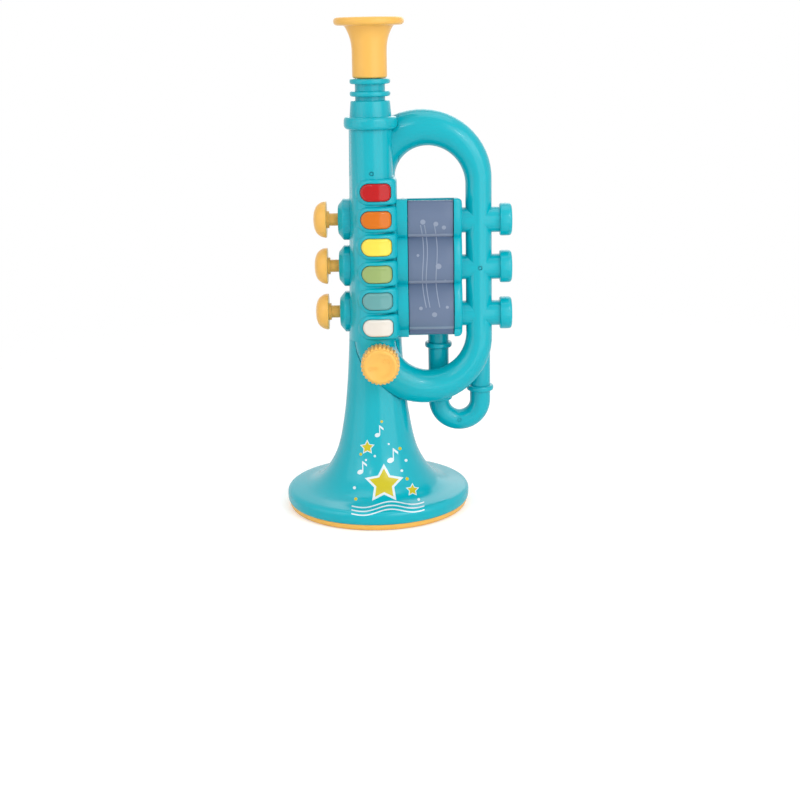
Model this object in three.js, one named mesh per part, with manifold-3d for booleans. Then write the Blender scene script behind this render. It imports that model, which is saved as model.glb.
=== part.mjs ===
// Toy trumpet with light-up valve casing: moulded plastic shells, six tone keys, three side pistons and a volume knob.
// Millimetres, +Z up, the keys face -Y. The model is laid out round the bell axis and then shifted as a whole, so that
// the origin lies at the middle of the bounding box, on the surface that the trumpet stands on.
import * as THREE from 'three';
import { mergeVertices } from 'three/addons/utils/BufferGeometryUtils.js';
import Module from 'manifold-3d';

const wasm = await Module();
wasm.setup();

// General sizes of the moulding
const wall = 2;
const clearance = 0.3;
const seamGap = 0.1;
const overrun = 60;
const roundSides = 16;
const smallSides = 8;
const arcSteps = 2;
const bellSides = 24;
const faceSides = 18;
const postSides = 6;
const valveSides = 12;
const fine = { sides: 16, steps: 7, bay: 5 };
const coarse = { sides: 8, steps: 4, bay: 2 };

// Bell and base
const bellRimRadius = 62.7;
const bellRimHeight = 8.4;
const bellRimTop = 14;
const bellEdge = 3.4;
const bellLipInset = 1.6;
const bellJointHeight = 87.4;
const bellJointRadius = 18.4;
const bellThroat = [[20.6, 71], [22.9, 56], [25.2, 46], [28.8, 37], [34.6, 28.4], [42.5, 21.6], [51.5, 17]];
const grilleInset = 2.7;
const grilleRadius = bellRimRadius - grilleInset;
const grilleLipWidth = 6.5;
const grilleStepWidth = 4;
const grilleDome = 1.6;
const grilleRecess = 2.4;
const grilleSkin = 2;
const grilleHoleRadius = 1.5;
const grilleHolePitch = 6.4;
const grilleHoleRings = 3;
const grilleHolesPerRing = 6;
const grilleHoleSides = 6;
const speakerRadius = 25;
const speakerFrame = 2.2;
const speakerMagnetRadius = 15;
const speakerDepth = 13;
const speakerWallHeight = 5;

// Heights above the bell, each from a part below it
const knobRise = 18.6;
const knobZ = bellJointHeight + knobRise;
const throatRise = 14;
const throatTop = knobZ + throatRise;
const lowestKeyRise = 23.1;
const keyCount = 6;
const keyPitch = 17.9;
const keyTopZ = knobZ + lowestKeyRise + (keyCount - 1) * keyPitch;
const fairingRise = 9.4;
const fairingTop = keyTopZ + fairingRise;
const bodyRise = 30.4;
const bodyTop = fairingTop + bodyRise;
const receiverRise = 32.5;
const receiverTop = bodyTop + receiverRise;
const lowerBendRise = 14;
const lowerBendZ = knobZ + lowerBendRise;
const upperBendDrop = 5;
const upperBendZ = fairingTop - upperBendDrop;
const casingRise = 13.9;
const casingBottom = knobZ + casingRise;
const cellRise = 28.1;
const cellBottom = casingBottom + cellRise;
const cellLength = 44.5;
const casingHeadroom = 21.1;
const casingTop = cellBottom + cellLength + casingHeadroom;
const lowestBayRise = 5.1;
const lowestBayZ = casingBottom + lowestBayRise;
const bayCount = 3;
const topBayCut = 5;
const bayPitch = (casingTop + topBayCut - lowestBayZ) / bayCount;
const valveCount = 3;
const lowestValveRise = 14.6;
const valvePitch = 31.5;
const lowestValveZ = casingBottom + lowestValveRise;
const valveZ = Array.from({ length: valveCount }, (_, k) => lowestValveZ + (valveCount - 1 - k) * valvePitch);

// Upright body: a front pipe below the keys and a back pipe on the bell axis
const pipeY = -12;
const pipeRadius = 13.8;
const backRadius = 16.3;
const throatSteps = 4;
const throatSpigotRadius = 12.7;
const throatSpigotHeight = 3;

// Mouthpiece and its receiver
const receiverRadius = 13.2;
const collarRadius = 17.1;
const collarHeight = 8.2;
const neckRadius = 9.8;
const neckRingWidth = 3.4;
const neckRingPitch = 7.9;
const ferruleHeight = 10.4;
const mouthBore = 3.2;
const mouthHeight = 38.8;
const mouthFlangeRadius = 22.7;
const mouthFlange = 6;
const mouthNeckRadius = 16;
const mouthBarrelRadius = 11.3;
const mouthFlareHeight = 17.5;
const cupDepth = 20;
const spigotRadius = 7.4;
const spigotHeight = 12;

// Bends and the right-hand pipe
const loopY = -8;
const bendRadius = 35.1;
const rightPipeX = 2 * bendRadius;
const rightPipeRadius = 8.7;
const upperBendRise = 35.5;
const upperBendBack = 10;
const upperBendEnd = collarRadius + clearance;

// Three valves
const pistonY = 5;
const stubRadius = 8.4;
const capReach = 13.8;
const capX = rightPipeX + capReach;
const capLength = 8;
const capRadius = 10.8;
const capRound = 2.2;
const nutX = -23.4;
const nutRadius = 13.9;
const nutChamfer = 3.2;
const nutSpigotRadius = 7;
const nutSpigotEnd = -9.8;
const stemRadius = 4.2;
const headX = -40.2;
const headRadius = 12.2;
const headThickness = 9;
const headCollarRadius = 5.8;
const headCollarWidth = 1.8;
const stemFlangeRadius = 5.4;
const stemFlangeWidth = 1.4;
const stemNib = 1.2;

// Valve casing with the lamp lens
const casingLeft = 15.2;
const casingRight = 58.8;
const casingBack = 17;
const casingCrest = -21.6;
const casingValley = -15.4;
const casingCorner = 3.2;
const casingTopFall = 4;
const lensLeft = 22.8;
const lensRight = 53.4;
const lensSink = 1.3;
const lensWall = 1.8;

// Six keys
const keyX = 2.4;
const keyWidth = 19.9;
const keyHeight = 12.5;
const keyCorner = 3.6;
const keyFaceRadius = 20.6;
const keyCentreY = -9.2;
const keyFoot = -19.4;
const bezelLeft = -10.8;
const bezelRight = 15.5;
const bezelHeight = 16.4;
const bezelCorner = 1.6;
const bezelFaceRadius = 19;

// Volume knob
const knobX = 3.6;
const knobRadius = 12.9;
const knobFaceRadius = 11.4;
const knobBack = -26.8;
const knobFront = -42.4;
const knobRibs = 28;
const knobRibDepth = 1;
const knobEdge = 1.6;
const bossRadius = 12.4;
const bossStep = 1.8;
const bossFace = -26.3;
const potRadius = 8;
const potDepth = 6.6;
const potFront = -20.6;
const shaftRadius = 3;
const shaftBushRadius = 3.6;
const shaftEnd = -37;

// Tuning slide
const slideInset = 27.1;
const slideX = rightPipeX - slideInset;
const slideSpan = 28.5;
const slideRadius = 7;
const slideDrop = 49.5;
const slideBendZ = lowerBendZ - slideDrop;
const slideEndDrop = 8;
const slideRightTop = lowerBendZ - slideEndDrop;
const slideRingRadius = 9.2;
const slideRingWidth = 3.8;
const slideTopRingDrop = 9.9;
const slideLowRingRise = 2.5;
const slideLeftRings = [casingBottom - slideTopRingDrop, slideBendZ + slideLowRingRise];
const slideRightRingRise = 8.5;
const slideRightRings = [slideBendZ + slideRightRingRise];

// Electronics and power
const boardThickness = 1.6;
const keyBoardY = -12.4;
const padThickness = 1.4;
const padDomeRadius = 4;
const padDomeTop = -17.6;
const pistonBoardX = 1.2;
const switchTop = -1.6;
const switchHalf = 3;
const lightBoardY = -6;
const lightBoardMargin = 6;
const lampRadius = 2.5;
const lampHeight = 4.6;
const lampCrownShare = 0.6;
const cellRadius = 5.25;
const cellY = 9.2;
const cellX = [28.2, 39.4, 50.6];
const contactThickness = 1;
const holderWall = 1.2;
const doorLeft = 21;
const doorRight = 55;
const doorMargin = 5;
const doorThickness = 1.8;
const screwRadius = 1.5;
const screwHeadRadius = 2.8;
const screwHead = 1.8;
const screwBossRadius = 3.2;
const screwTip = -13;
const casingScrewX = 20;
const casingScrewInset = 8;
const topScrewRise = 3;
const topScrewZ = fairingTop + topScrewRise;
const lowScrewX = -3;
const lowScrewRise = 10;
const lowScrewZ = knobZ + lowScrewRise;

// Finishes
const turquoise = { color: 0x35bfca, roughness: 0.25, metalness: 0 };
const cream = { color: 0xfaca6c, roughness: 0.35, metalness: 0 };
const smoke = { color: 0x8092b0, roughness: 0.15, metalness: 0, transparent: true, opacity: 0.6 };
const boardGreen = { color: 0x2c6b45, roughness: 0.6, metalness: 0 };
const silicone = { color: 0xd9d9d4, roughness: 0.8, metalness: 0 };
const steel = { color: 0xb9bcc0, roughness: 0.35, metalness: 1 };
const darkPart = { color: 0x24262a, roughness: 0.6, metalness: 0 };
const cellCover = { color: 0x3c4a5c, roughness: 0.4, metalness: 0.3 };
const keyColours = [0xc4161c, 0xe28400, 0xfce45c, 0xa2b777, 0x6fa9a8, 0xf2ece2];
const keyNames = ['red', 'orange', 'yellow', 'green', 'teal', 'white'];

// Closed geometry to a solid, and a solid to a named mesh
function solid(geometry) {
  geometry.deleteAttribute('normal');
  geometry.deleteAttribute('uv');
  const merged = mergeVertices(geometry);
  return new wasm.Manifold(new wasm.Mesh({
    numProp: 3,
    vertProperties: Float32Array.from(merged.attributes.position.array),
    triVerts: Uint32Array.from(merged.index.array),
  }));
}

function join(solids) {
  return solids.reduce((sum, next) => sum.add(next));
}

function node(name, body, finish) {
  const data = body.getMesh();
  const geometry = new THREE.BufferGeometry();
  geometry.setAttribute('position', new THREE.BufferAttribute(data.vertProperties, 3));
  geometry.setIndex(new THREE.BufferAttribute(data.triVerts, 1));
  geometry.computeVertexNormals();
  const mesh = new THREE.Mesh(geometry, new THREE.MeshStandardMaterial(finish));
  mesh.name = name;
  return mesh;
}

// Axes that a flat outline is laid on: outline x, outline y, then the way it is extruded
const axisX = new THREE.Vector3(1, 0, 0);
const axisY = new THREE.Vector3(0, 1, 0);
const axisZ = new THREE.Vector3(0, 0, 1);
const seenFromFront = new THREE.Matrix4().makeBasis(axisX, axisZ, axisY.clone().negate());
const seenFromSide = new THREE.Matrix4().makeBasis(axisY, axisZ, axisX);

function prism(outline, depth, plane) {
  return new THREE.ExtrudeGeometry(outline, { depth, bevelEnabled: false }).applyMatrix4(plane);
}

// A slab of a front-view outline between two depths, front < back
function frontSlab(outline, front, back) {
  return solid(prism(outline, back - front, seenFromFront).translate(0, back, 0));
}

function block(x0, x1, y0, y1, z0, z1) {
  const box = new THREE.BoxGeometry(x1 - x0, y1 - y0, z1 - z0);
  return solid(box.translate((x0 + x1) / 2, (y0 + y1) / 2, (z0 + z1) / 2));
}

// Turned shapes: profile points are [radius, height], about Z, about X or about -Y
function turned(profile, sides = roundSides) {
  const points = profile.map(([r, h]) => new THREE.Vector2(r, h));
  return new THREE.LatheGeometry(points, sides).rotateX(Math.PI / 2);
}

function turnedZ(profile, x, y, sides) {
  return solid(turned(profile, sides).translate(x, y, 0));
}

function turnedX(profile, y, z, sides) {
  return solid(turned(profile, sides).rotateY(Math.PI / 2).translate(0, y, z));
}

function turnedY(profile, x, z, sides) {
  return solid(turned(profile, sides).rotateX(-Math.PI / 2).translate(x, 0, z));
}

// Rings of points joined to a closed skin with a fan at each end
function loft(rings) {
  const sides = rings[0].length;
  const positions = rings.flat().flatMap((p) => [p.x, p.y, p.z]);
  const index = [];
  for (let k = 0; k + 1 < rings.length; k += 1) {
    for (let i = 0; i < sides; i += 1) {
      const a = k * sides + i;
      const b = k * sides + (i + 1) % sides;
      index.push(a, b, b + sides, a, b + sides, a + sides);
    }
  }
  const last = (rings.length - 1) * sides;
  for (let i = 1; i + 1 < sides; i += 1) {
    index.push(0, i + 1, i);
    index.push(last, last + i, last + i + 1);
  }
  const geometry = new THREE.BufferGeometry();
  geometry.setAttribute('position', new THREE.Float32BufferAttribute(positions, 3));
  geometry.setIndex(index);
  return solid(geometry);
}

// A pipe through upright rings; stations are { x, y, z, angle, radius }
function pipe(stations, sides = roundSides) {
  return loft(stations.map(({ x, y, z, angle, radius }) => {
    const ring = [];
    for (let i = 0; i < sides; i += 1) {
      const turn = 2 * Math.PI * i / sides;
      const out = radius * Math.cos(turn);
      ring.push(new THREE.Vector3(x + out * Math.cos(angle), y + radius * Math.sin(turn),
        z + out * Math.sin(angle)));
    }
    return ring;
  }));
}

// Upright body
// The section is the outline round a front circle and a larger back circle
function bodySection(z, inset, sides) {
  const ring = [];
  for (let i = 0; i < sides; i += 1) {
    const turn = 2 * Math.PI * i / sides;
    const front = pipeY * Math.sin(turn) + pipeRadius > backRadius;
    const radius = (front ? pipeRadius : backRadius) - inset;
    const centre = front ? pipeY : 0;
    ring.push(new THREE.Vector3(radius * Math.cos(turn), centre + radius * Math.sin(turn), z));
  }
  return ring;
}

function bodySolid(inset, { sides }) {
  const top = bodyTop - inset;
  const fairing = loft([lowerBendZ - wall + inset, fairingTop - inset].map((z) => bodySection(z, inset,
    sides)));
  const stepZ = fairingTop - inset;
  const front = turnedZ([[0, stepZ], [pipeRadius - inset, stepZ], [pipeRadius - inset, top],
    [0, top]], 0, pipeY, sides);
  const back = turnedZ([[0, stepZ], [backRadius - inset, stepZ], [backRadius - inset, top],
    [0, top]], 0, 0, sides);
  return join([fairing, front, back]);
}

// The bell's throat narrows up to the back pipe
function throatProfile(grow) {
  const flare = bellJointRadius - backRadius;
  const profile = [];
  for (let k = 0; k <= throatSteps; k += 1) {
    const share = k / throatSteps;
    profile.push([backRadius + flare * (1 - share) ** 2 + grow,
      bellJointHeight + (throatTop - bellJointHeight) * share]);
  }
  return profile;
}

// Bends, right-hand pipe, valve stubs and their end caps
// A bend runs from the right-hand pipe over to the body and widens on its way: the lower one into the front pipe,
// the upper one into the back pipe
const below = { centreZ: lowerBendZ, rise: bendRadius, up: -1, back: pipeY - loopY, endRadius: pipeRadius };
const above = { centreZ: upperBendZ, rise: upperBendRise, up: 1, back: upperBendBack, endRadius: backRadius };

function bendStations({ centreZ, rise, up, back, endRadius }, steps, inset) {
  const stations = [];
  for (let k = 0; k <= steps; k += 1) {
    const share = k / steps;
    const angle = Math.PI * share;
    stations.push({
      x: rightPipeX - bendRadius + bendRadius * Math.cos(angle),
      y: loopY + back * share ** 2 * (3 - 2 * share),
      z: centreZ + up * rise * Math.sin(angle),
      angle: up * angle,
      radius: rightPipeRadius + (endRadius - rightPipeRadius) * share - inset,
    });
  }
  return stations;
}

function lowerBend(inset) {
  return pipe(bendStations(below, fine.steps, inset).reverse(), fine.sides);
}

// The lower bend, the right-hand pipe and the upper bend in one run
function loop(inset, { sides, steps }) {
  const stations = [...bendStations(below, steps, inset).reverse(), ...bendStations(above, steps, inset)];
  const collarRoom = turnedZ([[0, bodyTop - inset], [upperBendEnd + inset, bodyTop - inset],
    [upperBendEnd + inset, bodyTop + overrun], [0, bodyTop + overrun]], 0, pipeY);
  return pipe(stations, sides).subtract(collarRoom);
}

function stubs(inset, { sides }) {
  const end = capX + capLength;
  const start = casingRight - wall - inset;
  const cap = capRadius - inset;
  return join(valveZ.map((z) => turnedX([[0, start], [stubRadius - inset, start],
    [stubRadius - inset, capX + inset],
    [cap, capX + inset], [cap, end - capRound - inset], [cap - capRound, end - inset],
    [0, end - inset]], loopY, z, sides)));
}

function stubBores(inset, { sides }) {
  const start = casingRight - wall - inset;
  const end = capX + capLength - inset;
  const radius = stubRadius - inset;
  return join(valveZ.map((z) => turnedX([[0, start], [radius, start], [radius, end],
    [0, end]], loopY, z, sides)));
}

// Valve casing: three round-fronted bays in the side view, the top one cut short, and a top that falls to the back
function bayFront(z, inset) {
  const share = ((z - lowestBayZ) / bayPitch) % 1;
  const swell = z > lowestBayZ ? Math.sin(Math.PI * share) ** 0.7 : 0;
  return casingValley + (casingCrest - casingValley) * swell + inset;
}

function casingOutline(inset, bayPoints) {
  const outline = new THREE.Shape();
  const bottom = casingBottom + inset;
  const top = casingTop - inset;
  const back = casingBack - inset;
  const edge = top - casingCorner / 2;
  outline.moveTo(back, bottom);
  outline.lineTo(back, top - casingTopFall);
  outline.lineTo(bayFront(edge, inset) + casingCorner / 2, top);
  outline.lineTo(bayFront(edge, inset), edge);
  for (let k = bayPoints * bayCount; k >= 0; k -= 1) {
    const z = lowestBayZ + bayPitch * k / bayPoints;
    if (z < edge) outline.lineTo(bayFront(z, inset), z);
  }
  outline.lineTo(casingValley + inset, bottom + casingCorner / 2);
  outline.lineTo(casingValley + inset + casingCorner / 2, bottom);
  return outline;
}

function casingSolid(inset, { bay }) {
  const width = casingRight - casingLeft - 2 * inset;
  return solid(prism(casingOutline(inset, bay), width, seenFromSide).translate(casingLeft + inset, 0, 0));
}

// Key outlines: left end a half circle, right end with small corners
function addArc(outline, x, z, radius, quarters, steps) {
  for (let k = 0; k <= steps; k += 1) {
    const turn = Math.PI / 2 * (quarters[0] + (quarters[1] - quarters[0]) * k / steps);
    outline.lineTo(x + radius * Math.cos(turn), z + radius * Math.sin(turn));
  }
}

function keyOutline(left, right, height, corner, z) {
  const half = height / 2;
  const outline = new THREE.Shape();
  outline.moveTo((left + right) / 2, z - half);
  addArc(outline, right - corner, z - half + corner, corner, [-1, 0], arcSteps);
  addArc(outline, right - corner, z + half - corner, corner, [0, 1], arcSteps);
  addArc(outline, left + half, z, half, [1, 3], arcSteps * 2);
  return outline;
}

function keyZ(k) {
  return keyTopZ - k * keyPitch;
}

function grownKeyOutline(k, grow) {
  const left = keyX - keyWidth / 2 - grow;
  const right = keyX + keyWidth / 2 + grow;
  return keyOutline(left, right, keyHeight + 2 * grow, keyCorner, keyZ(k));
}

function faceCylinder(radius) {
  const low = keyZ(keyCount) - keyPitch;
  return turnedZ([[0, low], [radius, low], [radius, keyTopZ + keyPitch], [0, keyTopZ + keyPitch]],
    keyX, keyCentreY, faceSides);
}

function bezels() {
  const face = faceCylinder(bezelFaceRadius);
  const pads = [];
  for (let k = 0; k < keyCount; k += 1) {
    const outline = keyOutline(bezelLeft, bezelRight, bezelHeight, bezelCorner, keyZ(k));
    pads.push(frontSlab(outline, -overrun, pipeY - wall).intersect(face));
  }
  return join(pads);
}

function keyWells() {
  const wells = [];
  for (let k = 0; k < keyCount; k += 1) {
    wells.push(frontSlab(grownKeyOutline(k, clearance), -overrun, pipeY - wall));
  }
  return join(wells);
}

// Shells
function outerForm() {
  return join([bodySolid, loop, stubs, casingSolid].map((make) => make(0, fine)));
}

function innerForm() {
  return join([bodySolid, loop, stubBores, casingSolid].map((make) => make(wall, coarse)));
}

function frontRegion() {
  return block(-overrun, upperBendEnd - seamGap, -overrun, -seamGap, 0, 5 * overrun)
    .add(block(upperBendEnd - wall, 2 * overrun, -overrun, loopY - seamGap, 0, 5 * overrun));
}

function backRegion() {
  return block(-overrun, upperBendEnd + seamGap, seamGap, overrun, 0, 5 * overrun)
    .add(block(upperBendEnd + seamGap, 2 * overrun, loopY + seamGap, overrun, 0, 5 * overrun));
}

// Each screw: place, the face its head sinks in, the parting plane and the front wall that its post stands on
function screws() {
  const casing = (z) => ({ x: casingScrewX, z, seat: casingBack, split: loopY, root: bayFront(z, wall / 2) });
  return [
    { x: 0, z: topScrewZ, seat: backRadius, split: 0, root: pipeY - pipeRadius + wall / 2 },
    { x: lowScrewX, z: lowScrewZ, seat: backRadius - clearance, split: 0, root: loopY - stubRadius - 3 * wall },
    { x: rightPipeX, z: valveZ[1], seat: loopY + rightPipeRadius, split: loopY,
      root: loopY - rightPipeRadius + wall / 2 },
    casing(casingTop - casingScrewInset),
    casing(casingBottom + casingScrewInset),
  ];
}

function screwBosses(front, places) {
  return join(places.map(({ x, z, seat, split, root }) => {
    const from = front ? root : split + seamGap;
    const to = front ? split - seamGap : seat - wall / 2;
    return turnedY([[0, from], [screwBossRadius, from], [screwBossRadius, to], [0, to]], x, z, postSides);
  }));
}

function screwBores() {
  return join(screws().map(({ x, z, seat }) => {
    const head = seat - screwHead - clearance * 2;
    const shank = screwRadius + clearance;
    const wide = screwHeadRadius + clearance;
    return turnedY([[0, screwTip], [shank, screwTip], [shank, head], [wide, head], [wide, overrun],
      [0, overrun]],
      x, z, postSides);
  }));
}

function pistonHoles(radius) {
  return join(valveZ.map((z) => turnedX([[0, -overrun], [radius, -overrun], [radius, 0],
    [0, 0]], pistonY, z, valveSides)));
}

// Round seat that the volume knob turns on
function knobBoss(grow) {
  const radius = bossRadius + grow;
  return turnedY([[0, bossFace - grow], [radius - bossStep, bossFace - grow],
    [radius, bossFace - grow + bossStep / 2],
    [radius, loopY + grow], [0, loopY + grow]], knobX, knobZ);
}

// The front shell holds the whole of the lower bend where the bend lies in the bell's throat
function bendTailRoom(right) {
  return block(-overrun, right, -wall, overrun, 0, throatTop);
}

function frontShell(outer, inner) {
  const lensWindow = block(lensLeft, lensRight, -overrun, loopY, casingBottom - wall, casingTop + wall);
  const bush = turnedY([[0, -overrun], [shaftBushRadius, -overrun], [shaftBushRadius, loopY], [0, loopY]],
    knobX, knobZ, smallSides);
  const potSeat = turnedY([[0, bossFace], [potRadius, bossFace], [potRadius, potFront - clearance],
    [0, potFront - clearance]], knobX, knobZ);
  const potPocket = turnedY([[0, potFront - clearance], [potRadius + clearance, potFront - clearance],
    [potRadius + clearance, potFront + potDepth], [0, potFront + potDepth]], knobX, knobZ);
  const posts = screwBosses(true, screws()).add(potSeat);
  const tail = lowerBend(0).subtract(inner).intersect(bendTailRoom(upperBendEnd - seamGap));
  const collarSeat = turnedZ([[0, bodyTop - wall * 2], [receiverRadius - wall, bodyTop - wall * 2],
    [receiverRadius - wall, overrun * 5], [0, overrun * 5]], 0, pipeY);
  return outer.add(bezels()).add(knobBoss(0))
    .subtract(inner).add(posts)
    .intersect(frontRegion()).add(tail)
    .subtract(lensWindow).subtract(keyWells()).subtract(bush).subtract(potPocket).subtract(screwBores())
    .subtract(collarSeat).subtract(pistonHoles(nutSpigotRadius + clearance));
}

function backShell(outer, inner) {
  const throat = turnedZ([[0, 0], [bellJointRadius, 0], ...throatProfile(clearance),
    [backRadius + clearance, throatTop + clearance],
    [0, throatTop + clearance]], 0, 0, bellSides);
  const tail = lowerBend(0).intersect(bendTailRoom(upperBendEnd + seamGap));
  const doorHole = block(doorLeft - clearance, doorRight + clearance, cellY, overrun,
    cellBottom - doorMargin - clearance, cellBottom + cellLength + doorMargin + clearance);
  const low = cellBottom - doorMargin;
  const high = cellBottom + cellLength + doorMargin;
  const floorY = cellY - cellRadius - clearance;
  const tray = block(casingLeft + wall, casingRight - wall, floorY - holderWall, floorY, low - holderWall,
    high + holderWall)
    .add(block(casingLeft + wall, casingRight - wall, floorY - holderWall, casingBack - wall,
      low - holderWall, low))
    .add(block(casingLeft + wall, casingRight - wall, floorY - holderWall, casingBack - wall, high,
      high + holderWall));
  const slideHole = turnedZ([[0, casingBottom - wall], [slideRadius + clearance, casingBottom - wall],
    [slideRadius + clearance, casingBottom + wall * 2], [0, casingBottom + wall * 2]], slideX, slideY());
  const collarSeat = turnedZ([[0, bodyTop - wall * 2], [receiverRadius - wall, bodyTop - wall * 2],
    [receiverRadius - wall, overrun * 5], [0, overrun * 5]], 0, pipeY);
  return outer.subtract(inner).add(screwBosses(false, screws().filter(({ z }) => z > throatTop))).add(tray)
    .intersect(backRegion())
    .subtract(pistonHoles(nutSpigotRadius + clearance)).subtract(doorHole).subtract(slideHole)
    .subtract(screwBores()).subtract(throat).subtract(tail).subtract(collarSeat);
}

// Bell: flared cone with a rounded rim, open below; its throat takes the back pipe on a spigot and makes room in front
// for the front shell
function bell() {
  const outside = [[bellRimRadius - bellLipInset, bellEdge],
    [bellRimRadius - bellLipInset / 4, (bellEdge + bellRimHeight) / 2],
    [bellRimRadius, bellRimHeight], [bellRimRadius - bellLipInset / 2, bellRimTop - bellLipInset],
    [bellRimRadius - bellLipInset * 2, bellRimTop]];
  const cone = [...bellThroat].reverse();
  const spigotTop = throatTop + throatSpigotHeight;
  const spigot = [[throatSpigotRadius, throatTop], [throatSpigotRadius, spigotTop],
    [throatSpigotRadius - wall, spigotTop],
    [throatSpigotRadius - wall, throatTop - wall], [backRadius - wall, throatTop - wall]];
  const hollow = bellThroat.filter((point, k) => k % 2 === 0);
  const inside = [[bellJointRadius - wall, bellJointHeight], ...hollow.map(([r, h]) => [r - wall, h - wall]),
    [bellRimRadius - bellLipInset * 2 - wall, bellRimTop - wall],
    [bellRimRadius - bellLipInset - wall, bellRimHeight],
    [bellRimRadius - bellLipInset - wall, bellEdge]];
  const profile = [...outside, ...cone, ...throatProfile(0), ...spigot, ...inside, outside[0]];
  const frontBody = bodySolid(-clearance, fine).add(casingSolid(-clearance, fine))
    .intersect(block(-overrun, overrun, -overrun, seamGap, 0, 5 * overrun));
  return turnedZ(profile, 0, 0, bellSides).add(screwBosses(false, screws().filter(({ z }) => z < throatTop)))
    .subtract(lowerBend(-clearance)).subtract(frontBody).subtract(knobBoss(clearance)).subtract(screwBores());
}

// Base cover: rounded lip to stand on, a step inwards and a domed grille
function speakerGrille() {
  const lip = grilleRadius - grilleLipWidth;
  const step = lip - grilleStepWidth;
  const holderInner = speakerRadius + clearance;
  const deck = grilleRecess + grilleSkin;
  const profile = [[0, grilleRecess - grilleDome], [step / 2, grilleRecess - grilleDome * 0.8],
    [step, grilleRecess],
    [lip, grilleRecess / 3], [lip + wall / 2, 0], [grilleRadius - wall, 0], [grilleRadius - wall / 4, wall / 2],
    [grilleRadius, bellEdge - clearance], [grilleRadius - wall - clearance, bellEdge - clearance],
    [grilleRadius - wall - clearance, bellRimHeight - clearance],
    [grilleRadius - wall * 2 - clearance, bellRimHeight - clearance],
    [grilleRadius - wall * 2 - clearance, deck], [holderInner + wall, deck],
    [holderInner + wall, deck + speakerWallHeight],
    [holderInner, deck + speakerWallHeight], [holderInner, deck], [0, deck]];
  const cover = turnedZ(profile, 0, 0, bellSides);
  const holes = [];
  for (let ring = 0; ring <= grilleHoleRings; ring += 1) {
    const count = Math.max(1, ring * grilleHolesPerRing);
    for (let k = 0; k < count; k += 1) {
      const turn = 2 * Math.PI * k / count;
      const reach = ring * grilleHolePitch;
      holes.push(turnedZ([[0, -wall], [grilleHoleRadius, -wall], [grilleHoleRadius, deck + wall / 2],
        [0, deck + wall / 2]],
        reach * Math.cos(turn), reach * Math.sin(turn), grilleHoleSides));
    }
  }
  return cover.subtract(join(holes));
}

function speaker() {
  const low = grilleRecess + grilleSkin + clearance;
  return turnedZ([[0, low], [speakerRadius, low], [speakerRadius, low + speakerFrame],
    [speakerMagnetRadius + wall, low + speakerDepth / 2], [speakerMagnetRadius, low + speakerDepth / 2],
    [speakerMagnetRadius, low + speakerDepth], [0, low + speakerDepth]], 0, 0);
}

// Receiver: collar, tapering ferrule, neck with two rings and the spigot that the mouthpiece sits on
function receiver() {
  const low = bodyTop + clearance / 3;
  const collarTop = low + collarHeight;
  const ferruleTop = collarTop + ferruleHeight;
  const ring = neckRingWidth;
  const upper = receiverTop;
  const lower = upper - neckRingPitch;
  const edge = collarHeight / 5;
  const soft = ring / 4;
  const profile = [[mouthBore, low - wall], [receiverRadius - wall - clearance, low - wall],
    [receiverRadius - wall - clearance, low], [collarRadius - edge, low], [collarRadius, low + edge],
    [collarRadius, collarTop - edge], [collarRadius - edge, collarTop], [receiverRadius, collarTop],
    [receiverRadius - soft, ferruleTop], [neckRadius, ferruleTop], [neckRadius, lower - ring],
    [receiverRadius - soft, lower - ring], [receiverRadius, lower - ring / 2], [receiverRadius - soft, lower],
    [neckRadius, lower], [neckRadius, upper - ring], [receiverRadius - soft, upper - ring],
    [receiverRadius, upper - ring / 2], [receiverRadius - soft, upper], [spigotRadius, upper],
    [spigotRadius, upper + spigotHeight], [mouthBore, upper + spigotHeight], [mouthBore, low - wall]];
  return turnedZ(profile, 0, pipeY);
}

function mouthpiece() {
  const low = receiverTop + clearance;
  const top = low + mouthHeight;
  const rim = top - mouthFlange;
  const bore = spigotRadius + clearance;
  const edge = mouthFlange / 3;
  const flareSteps = 4;
  const flare = [];
  for (let k = 0; k <= flareSteps; k += 1) {
    const share = k / flareSteps;
    flare.push([mouthBarrelRadius + (mouthNeckRadius - mouthBarrelRadius) * share ** 2.4,
      rim - mouthFlareHeight * (1 - share)]);
  }
  const profile = [[bore, low], [mouthBarrelRadius - 1 / 2 * clearance, low],
    [mouthBarrelRadius, low + edge / 2], ...flare,
    [mouthFlangeRadius - edge, rim], [mouthFlangeRadius, rim + edge], [mouthFlangeRadius, top - edge],
    [mouthFlangeRadius - edge, top], [mouthNeckRadius, top], [mouthBarrelRadius * 0.7, top - cupDepth * 0.6],
    [mouthBore, top - cupDepth], [mouthBore, low + spigotHeight + clearance],
    [bore, low + spigotHeight + clearance], [bore, low]];
  return turnedZ(profile, 0, pipeY);
}

// Lens: the bays' front skin, with its returns over the top and the bottom of the casing
function lens() {
  const left = lensLeft + clearance;
  const width = lensRight - lensLeft - 2 * clearance;
  const skin = solid(prism(casingOutline(lensSink, fine.bay), width, seenFromSide).translate(left, 0, 0))
    .subtract(solid(prism(casingOutline(lensSink + lensWall, fine.bay),
      width + 2 * wall, seenFromSide).translate(left - wall, 0, 0)));
  return skin.intersect(block(left, left + width, -overrun, loopY - clearance, 0, overrun * 5));
}

// Tuning slide
function slideY() {
  return loopY + rightPipeRadius + clearance + slideRadius;
}

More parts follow.
